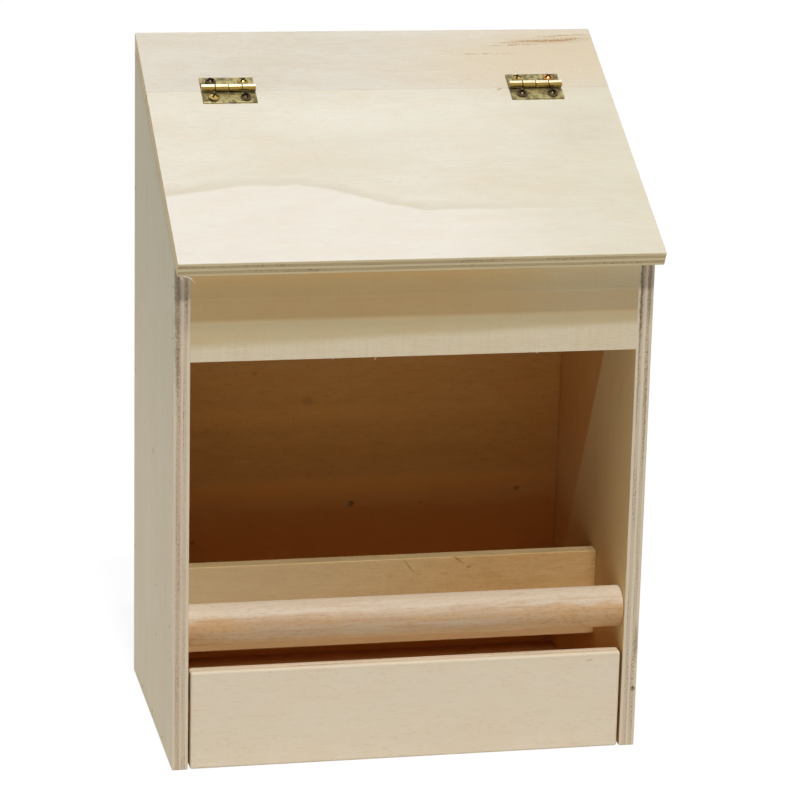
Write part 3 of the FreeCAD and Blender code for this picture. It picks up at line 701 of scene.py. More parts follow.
# Turned and sanded hardwood dowel: pinkish, close-grained, with short open pores along it, and golden
# patches with brown specks where its heartwood shows.
def dowel_wood(name, left_end, colours):
    material, node = new_material(name)
    (along, across, through), place = board_place(node, left_end, (X_AXIS, Y_AXIS, Z_AXIS))
    # Fibres 0.7 mm wide, bands 2.4 mm, mottles 9 by 2.2 mm, specks 1.6 by 0.6 mm and pores 4 by 0.4 mm.
    fibres = streaks(node, place, (14, 0.7, 0.7), 5.3, 3.0, 0.65)
    bands = streaks(node, place, (60, 2.4, 2.4), 9.1, 2.0, 0.5, 0.6)
    mottles = streaks(node, place, (9, 2.2, 2.2), 4.4, 3.0, 0.6)
    specks = streaks(node, place, (1.6, 0.6, 0.6), 7.7, 1.0)
    pores = streaks(node, place, (4.0, 0.4, 0.4), 2.7, 1.0)
    # Painted shade: the perch is pale on top and darker from its front down.
    height = node("Math", (across, 0.35, through), "MULTIPLY_ADD")
    height = node("Math", (mottles, 7.0, height), "MULTIPLY_ADD")
    figure = node("Math", (fibres, 0.8, node("MapRange", (height, 7.5, 2.5, -0.35, 0.3))), "MULTIPLY_ADD")
    figure = node("Math", (figure, 0.75), "SUBTRACT")
    figure = node("Math", (bands, 1.5, figure), "MULTIPLY_ADD", use_clamp=True)
    colour = node("Mix", (figure, colours.dowel_pale, colours.dowel_deep))
    # Painted warm shade along the underside.
    under = node("MapRange", (through, -0.5, -5.5, 0.0, 0.35))
    colour = node("Mix", (under, colour, colours.dowel_under_shade))
    # Golden patches lie towards both ends and low down, broken up by the mottles.
    left, right = node("MapRange", (along, 9, 22, 1.0, 0.0)), node("MapRange", (along, 96, 122))
    ends = node("Math", (left, right), "MAXIMUM")
    patch = node("Math", (ends, 0.6, node("MapRange", (mottles, 0.48, 0.62, 0.0, 0.4))), "MULTIPLY_ADD")
    patch = node("Math", (patch, node("MapRange", (height, 6.0, 3.0))), "MULTIPLY")
    colour = node("Mix", (node("Math", (patch, 0.9), "MULTIPLY"), colour, colours.dowel_patch))
    brown = node("Math", (patch, 0.22, 0.12), "MULTIPLY_ADD")
    brown = node("Math", (node("MapRange", (specks, 0.5, 0.66)), brown), "MULTIPLY")
    pore = node("Math", (node("MapRange", (pores, 0.6, 0.74)), 0.4), "MULTIPLY")
    colour = node("Mix", (node("Math", (brown, pore), "MAXIMUM"), colour, colours.pore))
    relief = node("Math", (pore, -2.0, fibres), "MULTIPLY_ADD")
    finish_material(node, {
        "Base Color": colour, "Roughness": node("MapRange", (fibres, 0.2, 0.8, 0.55, 0.72)),
        "IOR": 1.45, "Specular IOR Level": 0.3,
        "Normal": node("Bump", {"Strength": 0.4, "Distance": 0.08 * MM, "Height": relief}),
    })
    return material


# Plated metal, stamped or headed and then handled: dulled in blotches, with fine draw lines, and worn bright
# where it stands proud of the roof, and on the hinges a painted highlight along the top of the knuckles.
def plated(name, bright, dull, worn, roughness, blotch=2.2, painted_highlight=None):
    material, node = new_material(name)
    (_, _, lift), place = board_place(node, on_roof(0, 0, THICK), (X_AXIS, UP_SLOPE, OFF_ROOF))
    # Blotches 2.2 mm across on the hinges and smaller on screws and nails, and draw lines 0.3 mm apart.
    cloud = streaks(node, place, (blotch, blotch, blotch), 3.9, 3.0, 0.6)
    lines = streaks(node, place, (6, 0.3, 0.3), 8.3, 1.0)
    colour = node("Mix", (node("MapRange", (cloud, 0.36, 0.64)), bright, dull))
    proud = node("MapRange", (lift, 0.9, 1.7))
    colour = node("Mix", (proud, colour, worn))
    # Painted highlight along the top of the knuckles.
    if painted_highlight:
        highlit = node("MapRange", (lift, 2.41, 2.56, 0.0, 0.95))
        colour = node("Mix", (highlit, colour, painted_highlight))
    rough = node("Math", (cloud, 0.25, roughness - 0.1), "MULTIPLY_ADD")
    finish_material(node, {
        "Base Color": colour, "Metallic": 1.0,
        "Roughness": node("Math", (proud, -0.2, rough), "MULTIPLY_ADD"),
        "Normal": node("Bump", {"Strength": 0.15, "Distance": 0.02 * MM, "Height": lines}),
    })
    return material


# Torn veneer fibre: a pale straw hair, browner in spots 0.5 mm across.
def straw_fibre(name, colours):
    material, node = new_material(name)
    _, place = board_place(node, (0, 0, 0), (X_AXIS, Y_AXIS, Z_AXIS))
    spots = node("MapRange", (streaks(node, place, (0.5, 0.5, 0.5), 4.2, 2.0), 0.4, 0.7, 0.0, 0.5))
    finish_material(node, {
        "Base Color": node("Mix", (spots, colours.sapwood, colours.heartwood)),
        "Roughness": 0.7, "IOR": 1.45, "Specular IOR Level": 0.3,
    })
    return material


# Dried wood glue: a yellowish bead, slightly glossy, and cloudy in spots 0.8 mm across.
def dried_glue(name, colours):
    material, node = new_material(name)
    _, place = board_place(node, (0, 0, 0), (X_AXIS, Y_AXIS, Z_AXIS))
    cloud = node("MapRange", (streaks(node, place, (0.8, 0.8, 0.8), 6.1, 2.0), 0.3, 0.7, 0.0, 0.5))
    finish_material(node, {
        "Base Color": node("Mix", (cloud, colours.glue, colours.ply_end)),
        "Roughness": 0.35, "IOR": 1.48, "Specular IOR Level": 0.4,
    })
    return material


# Operators, one for each piece or group of like pieces, and one for the stage

def settings(context):
    """Sizes and colours as they are set."""
    return context.scene.feeder_sizes, context.scene.feeder_colours


# Angles in degrees from which edges stay sharp on boards, the dowel, metal, and splinters and beads.
BOARD_SHARP, DOWEL_SHARP, METAL_SHARP, SPLINTER_SHARP = 40, 50, 35, 60
# What a board's grain, width and face point along.
TO_FRONT, TO_BACK = (X_AXIS, Z_AXIS, -Y_AXIS), (X_AXIS, Z_AXIS, Y_AXIS)
TO_ROOF = (X_AXIS, UP_SLOPE, OFF_ROOF)


def dress(piece, key, centre, axes, colours, cutter=None):
    """Drill a board, shade it and give it its plywood."""
    if cutter:
        cut(piece, cutter)
    smooth(piece, BOARD_SHARP)
    piece.data.materials.append(plywood(key, centre, axes, colours))


def mid_depth(node):
    """Point on the ground under the middle of an upright board."""
    low, high = node_box(node)
    return 0, (low.y + high.y) / 2, 0


class FEEDER_OT_side_panels(Operator):
    """Cut, drill and finish the two side panels"""
    bl_idname = "feeder.side_panels"
    bl_label = "Side panels"

    def execute(self, context):
        sizes, colours = settings(context)
        profile = [(FRONT, 0), (BACK, 0), (BACK, SIDE_BACK_TOP), (FRONT, SIDE_FRONT_TOP)]
        for side, sign in SIDES:
            node = side + "_side_panel"
            inner = inner_face(side, sign)
            piece = board(
                side + "_side_board", "box", node, profile, sizes.edge_ease,
                lambda point: abs(point.x - inner) < NEAR and abs(point.y - FRONT) < NEAR,
            )
            low, high = node_box(node)
            front_foot = ((low.x + high.x) / 2, FRONT, 0)
            holes = nail_cutter(NAIL_ROWS, sizes.nail_hole)
            dress(piece, side + "_side", front_foot, (Z_AXIS, Y_AXIS, X_AXIS * sign), colours, holes)
        return {"FINISHED"}


class FEEDER_OT_back_panel(Operator):
    """Cut, drill and finish the back panel"""
    bl_idname = "feeder.back_panel"
    bl_label = "Back panel"

    def execute(self, context):
        sizes, colours = settings(context)
        piece = board("back_board", "box", "back_panel", upright_profile("back_panel"), sizes.edge_ease)
        holes = nail_cutter(("back_pins",), sizes.nail_hole)
        dress(piece, "back", mid_depth("back_panel"), TO_BACK, colours, holes)
        return {"FINISHED"}


class FEEDER_OT_floor_panel(Operator):
    """Cut, drill and finish the floor panel"""
    bl_idname = "feeder.floor_panel"
    bl_label = "Floor panel"

    def execute(self, context):
        sizes, colours = settings(context)
        piece = board("floor_board", "box", "floor_panel", upright_profile("floor_panel"), sizes.edge_ease)
        holes = nail_cutter(("floor_pins",), sizes.nail_hole)
        dress(piece, "floor", (0, 0, THICK / 2), (X_AXIS, Y_AXIS, Z_AXIS), colours, holes)
        return {"FINISHED"}


class FEEDER_OT_front_board(Operator):
    """Cut and finish the front board"""
    bl_idname = "feeder.front_board"
    bl_label = "Front board"

    def execute(self, context):
        sizes, colours = settings(context)
        profile = upright_profile("front_board")
        piece = board("front_lower_board", "box", "front_board", profile, sizes.front_ease)
        dress(piece, "front", mid_depth("front_board"), TO_FRONT, colours)
        return {"FINISHED"}


class FEEDER_OT_front_fascia(Operator):
    """Cut, drill and finish the fascia above the opening"""
    bl_idname = "feeder.front_fascia"
    bl_label = "Front fascia"

    def execute(self, context):
        sizes, colours = settings(context)
        low, high = node_box("front_fascia")
        piece = board(
            "fascia_board", "box", "front_fascia", upright_profile("front_fascia"), sizes.edge_ease,
            lambda point: min(abs(point.x - low.x), abs(point.x - high.x)) < NEAR,
        )
        holes = nail_cutter(("fascia_pins",), sizes.nail_hole)
        dress(piece, "fascia", mid_depth("front_fascia"), TO_FRONT, colours, holes)
        return {"FINISHED"}


class FEEDER_OT_seed_rail(Operator):
    """Cut, drill and finish the rail that holds back the seed"""
    bl_idname = "feeder.seed_rail"
    bl_label = "Seed rail"

    def execute(self, context):
        sizes, colours = settings(context)
        piece = board("seed_rail_board", "box", "seed_rail", upright_profile("seed_rail"), sizes.edge_ease)
        holes = nail_cutter(("rail_pins",), sizes.nail_hole)
        dress(piece, "rail", mid_depth("seed_rail"), TO_FRONT, colours, holes)
        return {"FINISHED"}


# What each end of the perch, and each board at the roof's seam, is longer than its solid, to fit tightly.
DOWEL_CLOSED, SEAM_CLOSED = 0.12, 0.05
# Steps of the round at the perch's ends.
EASE_STEPS = 6


class FEEDER_OT_perch_dowel(Operator):
    """Turn, drill and finish the perch"""
    bl_idname = "feeder.perch_dowel"
    bl_label = "Perch dowel"

    def execute(self, context):
        sizes, colours = settings(context)
        low, high = node_box("perch_dowel")
        low.x, high.x = low.x - DOWEL_CLOSED, high.x + DOWEL_CLOSED
        radius, eased = (high.z - low.z) / 2, sizes.dowel_ease / MM
        span = high.x - low.x
        corner = [
            (eased * (1 - math.sin(a)), radius - eased * (1 - math.cos(a)))
            for a in [math.radians(90 - 90 * i / EASE_STEPS) for i in range(EASE_STEPS + 1)]
        ]
        profile = corner + [(span - along, r) for along, r in reversed(corner)]
        bm = bmesh.new()
        left_end = Vector((low.x, (low.y + high.y) / 2, (low.z + high.z) / 2))
        add_turned(bm, profile, along_axis(left_end, X_AXIS), segments=96)
        piece = new_piece("perch_bar", bm, "box", ["perch_dowel"])
        cut(piece, nail_cutter(("perch_pins",), sizes.nail_hole))
        smooth(piece, DOWEL_SHARP)
        piece.data.materials.append(dowel_wood("sanded_hardwood_dowel", left_end, colours))
        return {"FINISHED"}


def roof_board(name, body, node, sizes, rear_lean):
    """Make one of the two boards of the roof, its rear edge leaning by a run over its thickness.

    The edge at the seam between the boards stays as sawn.
    """
    begin, end = node_runs(node)
    if node == "lid":
        seam = end = end + SEAM_CLOSED
    else:
        seam = begin = begin - SEAM_CLOSED
    corners = [on_roof(0, *p) for p in ((begin, 0), (end, 0), (end + rear_lean, THICK), (begin, THICK))]
    return board(
        name, body, node, [(p.y, p.z) for p in corners], sizes.edge_ease,
        lambda point: abs(roof_run(point) - seam) < NEAR,
    )


# The hinges as in the CAD: a sheet that reaches from its free end to the notches between the knuckles, bends
# up there, given as (reach, lift) of its underside and top, and rolls round the pin by a curl in degrees.
# Reaches are from the pin and lifts from the roof's top, and the knuckle and the bore are the roll's radii.
# The lid's knuckles lie within a span either side of the hinge's middle, with gaps between all knuckles.
LEAF_THICK, LEAF_REACH, LEAF_NOTCH = 0.6, 6.3, 1.5
LEAF_BEND = ((0.75, 0.06), (0.8, LEAF_THICK + 0.03))
KNUCKLE, BORE, PIN_LIFT = 1.2, 0.65, 1.4
KNUCKLE_SPAN, KNUCKLE_GAP = 4.35, 0.3
CURL, CURL_STEPS = 296, 26
# The hinges' screws: how far apart and from the pin they stand, their length and the play under their points,
# the shank's radius, the point's length, the rim's height, the ease under it and the steps of the crown.
SCREW_PITCH, SCREW_OFFSET, SCREW_LENGTH, SCREW_PLAY = 10.3, 4.0, 4.5, 0.03
SHANK, POINT, RIM, HEAD_EASE, CROWN_STEPS = 0.9, 1.2, 0.2, 0.08, 8
# The cross recess: half an arm's length and width, its depth below the dome's top, how far below it the grime
# starts, and the play within which a face still belongs to the recess.
RECESS_ARM, RECESS_HALF, RECESS_DEPTH, GRIME_BELOW, RECESS_PLAY = 1.3, 0.34, 0.75, 0.3, 0.01


def screw_spots(row):
    """Where the screws of a row stand: hinge, end of the hinge, x and run."""
    direction = 1 if row == "roof" else -1
    spots = []
    for side, _ in SIDES:
        low, high = node_box(side + "_hinge_pin")
        middle = (low + high) / 2
        run = roof_run(middle) + direction * SCREW_OFFSET
        spots += [(side, end, middle.x + sign * SCREW_PITCH / 2, run) for end, sign in SIDES]
    return spots


def screw_cutter(row, diameter):
    """Holes for the screws of a row, through the board and the leaf."""
    bm = bmesh.new()
    radius = diameter / MM / 2
    for _, _, x, run in screw_spots(row):
        point = on_roof(x, run, THICK + LEAF_THICK - SCREW_LENGTH - SCREW_PLAY)
        hole = [(0, radius), (SCREW_LENGTH + 2 * CUT_PAST, radius)]
        add_turned(bm, hole, along_axis(point, OFF_ROOF), segments=24)
    return bm


class FEEDER_OT_roof_strip(Operator):
    """Cut, drill and finish the fixed strip of the roof"""
    bl_idname = "feeder.roof_strip"
    bl_label = "Roof strip"

    def execute(self, context):
        sizes, colours = settings(context)
        piece = roof_board("roof_strip_board", "box", "roof_strip", sizes, THICK * math.tan(SLOPE))
        holes = screw_cutter("roof", sizes.screw_hole)
        dress(piece, "roof_strip", on_roof(0, 0, THICK / 2), TO_ROOF, colours, holes)
        return {"FINISHED"}


class FEEDER_OT_lid(Operator):
    """Cut, drill and finish the lid"""
    bl_idname = "feeder.lid"
    bl_label = "Lid"

    def execute(self, context):
        sizes, colours = settings(context)
        piece = roof_board("lid_board", "lid", "lid", sizes, 0.0)
        holes = screw_cutter("lid", sizes.screw_hole)
        dress(piece, "lid", on_roof(0, 0, THICK / 2), TO_ROOF, colours, holes)
        return {"FINISHED"}


def leaf_section():
    """Lower and upper points of the rolled sheet as (reach, lift), from its free end round the pin."""
    section = [((reach, 0), (reach, LEAF_THICK)) for reach in (LEAF_REACH, LEAF_NOTCH)] + [LEAF_BEND]
    for i in range(CURL_STEPS + 1):
        a = math.radians(CURL * i / CURL_STEPS)
        section.append(tuple((-r * math.sin(a), PIN_LIFT - r * math.cos(a)) for r in (KNUCKLE, BORE)))
    return section


def add_leaf(bm, middle, direction, cuts, knuckles):
    """Add a leaf: cuts are its x stations and knuckles the spans between them that are rolled.

    The first stretch of its section is the plate, which runs through all spans.
    """
    section = leaf_section()
    made = {}

    def corner(j, i, k):
        if (j, i, k) not in made:
            reach, lift = section[i][k]
            spot = on_roof(middle.x + cuts[j], roof_run(middle) + direction * reach, THICK + lift)
            made[j, i, k] = bm.verts.new(spot * MM)
        return made[j, i, k]

    def filled(j, i):
        return 0 <= j < len(cuts) - 1 and 0 <= i < len(section) - 1 and (i == 0 or j in knuckles)

    faces = []
    for j in range(len(cuts) - 1):
        for i in range(len(section) - 1):
            if not filled(j, i):
                continue
            for k in (0, 1):
                faces.append([corner(j + u, i + v, k) for u, v in ((0, 0), (1, 0), (1, 1), (0, 1))])
            for step, at in ((-1, j), (1, j + 1)):
                if not filled(j + step, i):
                    faces.append([corner(at, i + v, k) for v, k in ((0, 0), (0, 1), (1, 1), (1, 0))])
            for step, at in ((-1, i), (1, i + 1)):
                if not filled(j, i + step):
                    faces.append([corner(j + u, at, k) for u, k in ((0, 0), (0, 1), (1, 1), (1, 0))])
    bmesh.ops.recalc_face_normals(bm, faces=[bm.faces.new(f) for f in faces])


def refinish(node, material):
    """Give a CAD node that stays as it is a material."""
    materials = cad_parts[node].data.materials
    materials.clear()
    materials.append(material)


class FEEDER_OT_hinges(Operator):
    """Roll and finish the leaves of the two hinges, and finish their pins"""
    bl_idname = "feeder.hinges"
    bl_label = "Hinges"

    def execute(self, context):
        sizes, colours = settings(context)
        # The leaves' tones carry painted dark reflection.
        pale, dull = colours.brass_pale, colours.brass_dull_and_reflection
        brass = plated("plated_brass_leaf", pale, dull, colours.brass_worn, 0.36, painted_highlight=colours.brass_painted_highlight)
        pin_brass = plated("plated_brass_pin", pale, colours.screw_bronze_and_reflection, dull, 0.36)
        slit = KNUCKLE_GAP / 2
        outer, inner = KNUCKLE_SPAN + slit, KNUCKLE_SPAN - slit
        for side, _ in SIDES:
            low, high = node_box(side + "_hinge_pin")
            middle, half = (low + high) / 2, (high.x - low.x) / 2
            for row, body, direction, cuts, knuckles in (
                ("roof", "box", 1, (-half, -outer, outer, half), (0, 2)),
                ("lid", "lid", -1, (-half, -inner, -slit, slit, inner, half), (1, 3)),
            ):
                bm = bmesh.new()
                add_leaf(bm, middle, direction, cuts, knuckles)
                ease(bm, sizes.leaf_ease, segments=2, sharper_than=50)
                node = "%s_hinge_%s_leaf" % (side, row)
                piece = new_piece("%s_%s_leaf_brass" % (side, row), bm, body, [node])
                cut(piece, screw_cutter(row, sizes.screw_hole))
                smooth(piece, METAL_SHARP)
                piece.data.materials.append(brass)
            refinish(side + "_hinge_pin", pin_brass)
        return {"FINISHED"}


# Each screw's turn and tilt in degrees, as the screws were driven by hand, and its finish: 0 brass, 1 copper,
# 2 bronze that is darkened by oxide and by painted dark reflection. Their recesses have the fourth.
SCREW_SET = {
    ("roof", "left", "left"): (20, 3, 2), ("roof", "left", "right"): (52, 2, 0),
    ("roof", "right", "left"): (70, -2, 0), ("roof", "right", "right"): (35, 2, 1),
    ("lid", "left", "left"): (62, 10, 0), ("lid", "left", "right"): (15, -3, 2),
    ("lid", "right", "left"): (40, -2, 2), ("lid", "right", "right"): (5, 1, 2),
}
RECESS_FINISH = 3


class FEEDER_OT_hinge_screws(Operator):
    """Head, drive and finish the screws of the hinges"""
    bl_idname = "feeder.hinge_screws"
    bl_label = "Hinge screws"

    def execute(self, context):
        sizes, colours = settings(context)
        dull, bronze = colours.brass_dull_and_reflection, colours.screw_bronze_and_reflection
        finishes = [
            plated(name, bright, dulled, bright, roughness, 1.0)
            for name, bright, dulled, roughness in (
                ("plated_brass_screw", colours.screw_brass, dull, 0.5),
                ("coppery_brass_screw", colours.screw_copper, dull, 0.5),
                # Dark bronze: oxide, darkened further as painted dark reflection.
                ("darkened_bronze_screw", bronze, dull, 0.55),
                ("grimy_bronze_recess", colours.screw_grime, bronze, 0.7),
            )
        ]
        head, dome = sizes.screw_head / MM / 2, sizes.screw_dome / MM
        ball = (head ** 2 + (dome - RIM) ** 2) / (2 * (dome - RIM))
        crown = [
            (SCREW_LENGTH + dome - ball * (1 - math.cos(a)), ball * math.sin(a))
            for a in [math.asin(head / ball) * i / CROWN_STEPS for i in range(CROWN_STEPS, 0, -1)]
        ]
        shaft = [(0, 0), (POINT, SHANK), (SCREW_LENGTH, SHANK)]
        rim = [(SCREW_LENGTH, head - HEAD_EASE), (SCREW_LENGTH + HEAD_EASE, head)]
        profile = shaft + rim + crown + [(SCREW_LENGTH + dome, 0)]
        for row, body in (("roof", "box"), ("lid", "lid")):
            whole = bmesh.new()
            for side, end, x, run in screw_spots(row):
                turn, tilt, finish = SCREW_SET[row, side, end]
                turn, tilt = math.radians(turn), math.radians(tilt)
                seat = along_axis(on_roof(x, run, THICK + LEAF_THICK + head * abs(math.sin(tilt))), OFF_ROOF)
                driven = seat @ Matrix.Rotation(tilt, 4, "Y") @ Matrix.Rotation(turn, 4, "Z")
                bm = bmesh.new()
                add_turned(bm, profile, driven @ Matrix.Translation(-Z_AXIS * SCREW_LENGTH), segments=40)
                screw = new_piece("screw_blank", bm, body, [])
                for a, b in ((RECESS_ARM, RECESS_HALF), (RECESS_HALF, RECESS_ARM)):
                    recess = bmesh.new()
                    floor = dome - RECESS_DEPTH
                    arm = [Vector((u, v, floor)) for u, v in ((-a, -b), (a, -b), (a, b), (-a, b))]
                    add_prism(recess, [driven @ p for p in arm], driven.to_3x3() @ (Z_AXIS * dome))
                    cut(screw, recess)
                start = len(whole.faces)
                whole.from_mesh(screw.data)
                whole.faces.ensure_lookup_table()
                into = driven.inverted()
                for face in whole.faces[start:]:
                    spot = into @ (face.calc_center_median() / MM)
                    near, far = sorted((abs(spot.x), abs(spot.y)))
                    in_arm = near < RECESS_HALF + RECESS_PLAY and far < RECESS_ARM + RECESS_PLAY
                    sunk = in_arm and 0 < spot.z < dome - GRIME_BELOW
                    face.material_index = RECESS_FINISH if sunk else finish
                bpy.data.objects.remove(screw)
            piece = new_piece("%s_screw_row" % row, whole, body, ["hinge_%s_screws" % row])
            smooth(piece, METAL_SHARP)
            for material in finishes:
                piece.data.materials.append(material)
        return {"FINISHED"}


# Fibres torn loose at sawn edges, as their foot, their way and their share of a splinter's length: at a run
# and a lift at the lid's lower front left corner, and at a depth and a height under the fascia's lower edge.
LID_TEAR, FASCIA_TEAR = (-5.6, 0.05), (FRONT + 0.3, 131.9)
TORN_FIBRES = {
    "lid": [(on_roof(x, *LID_TEAR), way, share) for x, way, share in (
        (-72.8, (0.82, -0.05, -0.55), 1.3), (-73.4, (0.3, 0, -0.95), 0.5),
        (-73.9, (0.1, -0.2, -0.95), 0.4), (-72.0, (0.95, 0, -0.3), 0.6),
    )],
    "box": [(Vector((x, *FASCIA_TEAR)), way, share) for x, way, share in (
        (-26.4, (0.3, 0, -0.5), 0.35), (-12.3, (-0.3, 0, -0.4), 0.4),
        (-25.0, (0.8, 0, -0.3), 0.4), (38.0, (0.5, 0, -0.3), 0.3),
    )],
}
# A fibre's half width at its foot, how much of it is lost to the tip, its bow, steps and section.
FIBRE_HALF, FIBRE_TAPER, FIBRE_BOW, FIBRE_STEPS = 0.15, 0.8, Vector((0.25, 0, 0.5)), 5
FIBRE_SECTION = [Vector((math.cos(a), 0.6 * math.sin(a), math.sin(a))) for a in (0.3, 2.4, 4.5)]


class FEEDER_OT_torn_fibres(Operator):
    """Draw the fibres torn loose at the lid's corner and under the fascia"""
    bl_idname = "feeder.torn_fibres"
    bl_label = "Torn fibres"

    def execute(self, context):
        sizes, colours = settings(context)
        straw = straw_fibre("torn_veneer_fibre", colours)
        for body, fibres in TORN_FIBRES.items():
            bm = bmesh.new()
            for k, (foot, way, share) in enumerate(fibres):
                way, reach = Vector(way).normalized(), sizes.splinter / MM * share
                rings = []
                for t in [i / FIBRE_STEPS for i in range(FIBRE_STEPS + 1)]:
                    spot = foot + way * reach * t + FIBRE_BOW * reach * t * (1 - t) * (-1) ** k
                    thick = FIBRE_HALF * (1 - FIBRE_TAPER * t)
                    rings.append([spot + corner * thick for corner in FIBRE_SECTION])
                add_loft(bm, rings)
            piece = new_piece("%s_torn_fibres" % body, bm, body, [])
            smooth(piece, SPLINTER_SHARP)
            piece.data.materials.append(straw)
        return {"FINISHED"}


# A bead of glue in a corner: its hollow section in legs from the corner, its depths behind the front with its
# size there, and the share of a whole bead at the left and right.
GLUE_SECTION = ((0.0, 0.0), (1.0, 0.0), (0.55, 0.2), (0.28, 0.3), (0.2, 0.55), (0.0, 1.2))
GLUE_RUN = ((0.35, 0.7), (1.4, 1.0), (2.8, 0.9), (4.4, 0.35))
GLUE_SHARES = (1.0, 0.8)


class FEEDER_OT_glue_beads(Operator):
    """Lay the glue squeezed out in the opening's top corners"""
    bl_idname = "feeder.glue_beads"
    bl_label = "Glue beads"

    def execute(self, context):
        sizes, colours = settings(context)
        glue = dried_glue("dried_wood_glue", colours)
        corner, _ = node_box("front_fascia")
        bm = bmesh.new()
        for (side, sign), share in zip(SIDES, GLUE_SHARES):
            leg = sizes.glue_bead / MM * share
            corner.x = inner_face(side, sign)
            add_loft(bm, [
                [corner + Vector((-sign * leg * size * u, depth, -leg * size * v)) for u, v in GLUE_SECTION]
                for depth, size in GLUE_RUN
            ])
        piece = new_piece("fascia_glue_beads", bm, "box", [])
        smooth(piece, SPLINTER_SHARP)
        piece.data.materials.append(glue)
        return {"FINISHED"}


class FEEDER_OT_nails(Operator):
    """Finish the pin nails that show in the sides"""
    bl_idname = "feeder.nails"
    bl_label = "Pin nails"

    def execute(self, context):
        colours = context.scene.feeder_colours
        bright = colours.nail_steel
        steel = plated("drawn_steel_nail", bright, colours.screw_bronze_and_reflection, bright, 0.5, 0.6)
        for group in NAIL_ROWS:
            refinish(group, steel)
        return {"FINISHED"}


# The studio's floor: half its width in metres, and how its paper glows and shades where it is seen.
FLOOR_REACH, PAPER_GLOW = 30.0, 0.92
WHITE, PAPER_SHADE = linear("FFFFFF"), linear("595959")
# The camera as fitted to the photo: its sensor and lens, its place, its turns about x, y and z in degrees,
# and the nearest and farthest that it sees, in metres.
SENSOR, LENS = 36.0, 143.816
CAMERA_AT, CAMERA_TURNS = Vector((-206.555, -973.995, 375.228)), (74.8271, -1.3296, -11.9109)
CLIP_START, CLIP_END = 0.01, 100.0


def seen_directly(node):
    """1 for rays that reach the eye straight, off a mirror or through glass."""
    ray = node("LightPath", out="Is Camera Ray").node
    either = node("Math", (ray.outputs["Is Camera Ray"], ray.outputs["Is Glossy Ray"]), "MAXIMUM")
    return node("Math", (either, ray.outputs["Is Transmission Ray"]), "MAXIMUM")


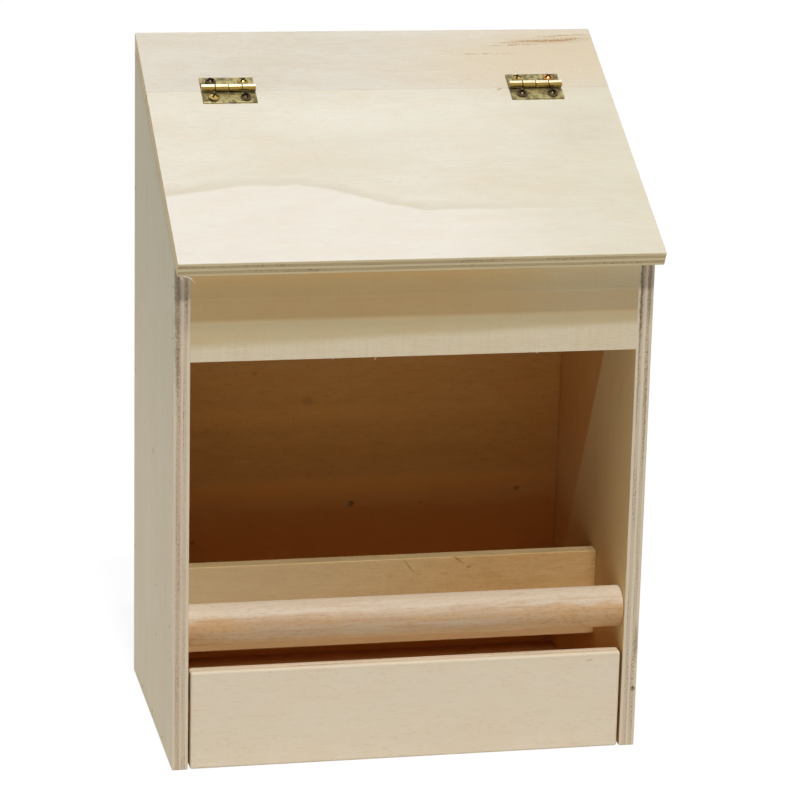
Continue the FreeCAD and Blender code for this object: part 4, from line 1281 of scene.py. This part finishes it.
class FEEDER_OT_stage(Operator):
    """Set the floor, the lights and the camera"""
    bl_idname = "feeder.stage"
    bl_label = "Studio"

    def execute(self, context):
        scene = context.scene
        colours, studio = scene.feeder_colours, scene.feeder_studio
        scene.view_settings.view_transform = "Standard"
        mesh = bpy.data.meshes.new("studio_floor")
        corners = [(x * FLOOR_REACH, y * FLOOR_REACH, 0) for x, y in ((-1, -1), (1, -1), (1, 1), (-1, 1))]
        mesh.from_pydata(corners, [], [(0, 1, 2, 3)])
        floor = bpy.data.objects.new("studio_floor", mesh)
        scene.collection.objects.link(floor)
        # Matt white paper: it reads white to the eye, and keeps a faint shadow.
        material, node = new_material("matt_white_paper")
        glow = node("Emission", {"Color": WHITE, "Strength": PAPER_GLOW})
        shade = node("BsdfDiffuse", {"Color": PAPER_SHADE})
        shown = node("AddShader", (glow, shade))
        lit = node("BsdfDiffuse", {"Color": colours.floor})
        node("OutputMaterial", {"Surface": node("MixShader", (seen_directly(node), lit, shown))})
        mesh.materials.append(material)

        world = bpy.data.worlds.new("soft_studio")
        scene.world = world
        world.use_nodes = True
        world.node_tree.nodes.clear()
        node = partial(add, world.node_tree)
        around = node("Background", {"Color": WHITE, "Strength": studio.ambient})
        white = node("Background", {"Color": WHITE, "Strength": 1.0})
        node("OutputWorld", {"Surface": node("MixShader", (seen_directly(node), around, white))})

        # Lamps as power, bearing round from the front, height above the horizon and width, in degrees.
        for name, power, bearing, height, width in (
            ("key_lamp", studio.key_power, 0, 72.3, 4),
            ("front_lamp", studio.front_power, 0, 59.4, 6),
            ("left_fill", studio.side_power, -96, 6, 40),
            ("right_fill", studio.side_power, 96, 6, 40),
            ("back_fill", studio.back_power, 180, 12, 50),
        ):
            lamp = bpy.data.lights.new(name, "SUN")
            lamp.energy = power
            lamp.angle = math.radians(width)
            light = bpy.data.objects.new(name, lamp)
            scene.collection.objects.link(light)
            turn, rise = math.radians(bearing), math.radians(height)
            level = math.cos(rise)
            towards = Vector((math.sin(turn) * level, -math.cos(turn) * level, math.sin(rise)))
            light.rotation_mode = "QUATERNION"
            light.rotation_quaternion = towards.to_track_quat("Z", "Y")
            light.location = towards

        lens = bpy.data.cameras.new("camera")
        lens.sensor_width, lens.lens = SENSOR, LENS
        lens.clip_start, lens.clip_end = CLIP_START, CLIP_END
        camera = bpy.data.objects.new("camera", lens)
        scene.collection.objects.link(camera)
        turned = Euler([math.radians(turn) for turn in CAMERA_TURNS])
        camera.matrix_world = Matrix.Translation(CAMERA_AT * MM) @ turned.to_matrix().to_4x4()
        scene.camera = camera
        return {"FINISHED"}


class FEEDER_PT_build(Panel):
    """Builds the feeder"""
    bl_idname = "FEEDER_PT_build"
    bl_label = "Bird feeder"
    bl_space_type = "VIEW_3D"
    bl_region_type = "UI"
    bl_category = "Feeder"

    def draw(self, context):
        layout = self.layout
        for operator in OPERATORS:
            layout.operator(operator.bl_idname)
        for title, group in (
            ("Sizes", context.scene.feeder_sizes), ("Colours", context.scene.feeder_colours),
            ("Studio", context.scene.feeder_studio),
        ):
            box = layout.box()
            box.label(text=title)
            for key in group.__annotations__:
                box.prop(group, key)


OPERATORS = (
    FEEDER_OT_stage, FEEDER_OT_side_panels, FEEDER_OT_back_panel, FEEDER_OT_floor_panel,
    FEEDER_OT_front_board, FEEDER_OT_front_fascia, FEEDER_OT_seed_rail, FEEDER_OT_perch_dowel,
    FEEDER_OT_roof_strip, FEEDER_OT_lid, FEEDER_OT_hinges, FEEDER_OT_hinge_screws, FEEDER_OT_torn_fibres,
    FEEDER_OT_glue_beads, FEEDER_OT_nails,
)
GROUPS = (("feeder_sizes", FeederSizes), ("feeder_colours", FeederColours), ("feeder_studio", FeederStudio))


def register():
    for name, group in GROUPS:
        bpy.utils.register_class(group)
        setattr(bpy.types.Scene, name, PointerProperty(type=group))
    for made in OPERATORS + (FEEDER_PT_build,):
        bpy.utils.register_class(made)


def unregister():
    for made in reversed(OPERATORS + (FEEDER_PT_build,)):
        bpy.utils.unregister_class(made)
    for name, group in reversed(GROUPS):
        delattr(bpy.types.Scene, name)
        bpy.utils.unregister_class(group)


def main():
    register()
    for operator in OPERATORS:
        family, call = operator.bl_idname.split(".")
        getattr(getattr(bpy.ops, family), call)()


if __name__ == "__main__":
    main()
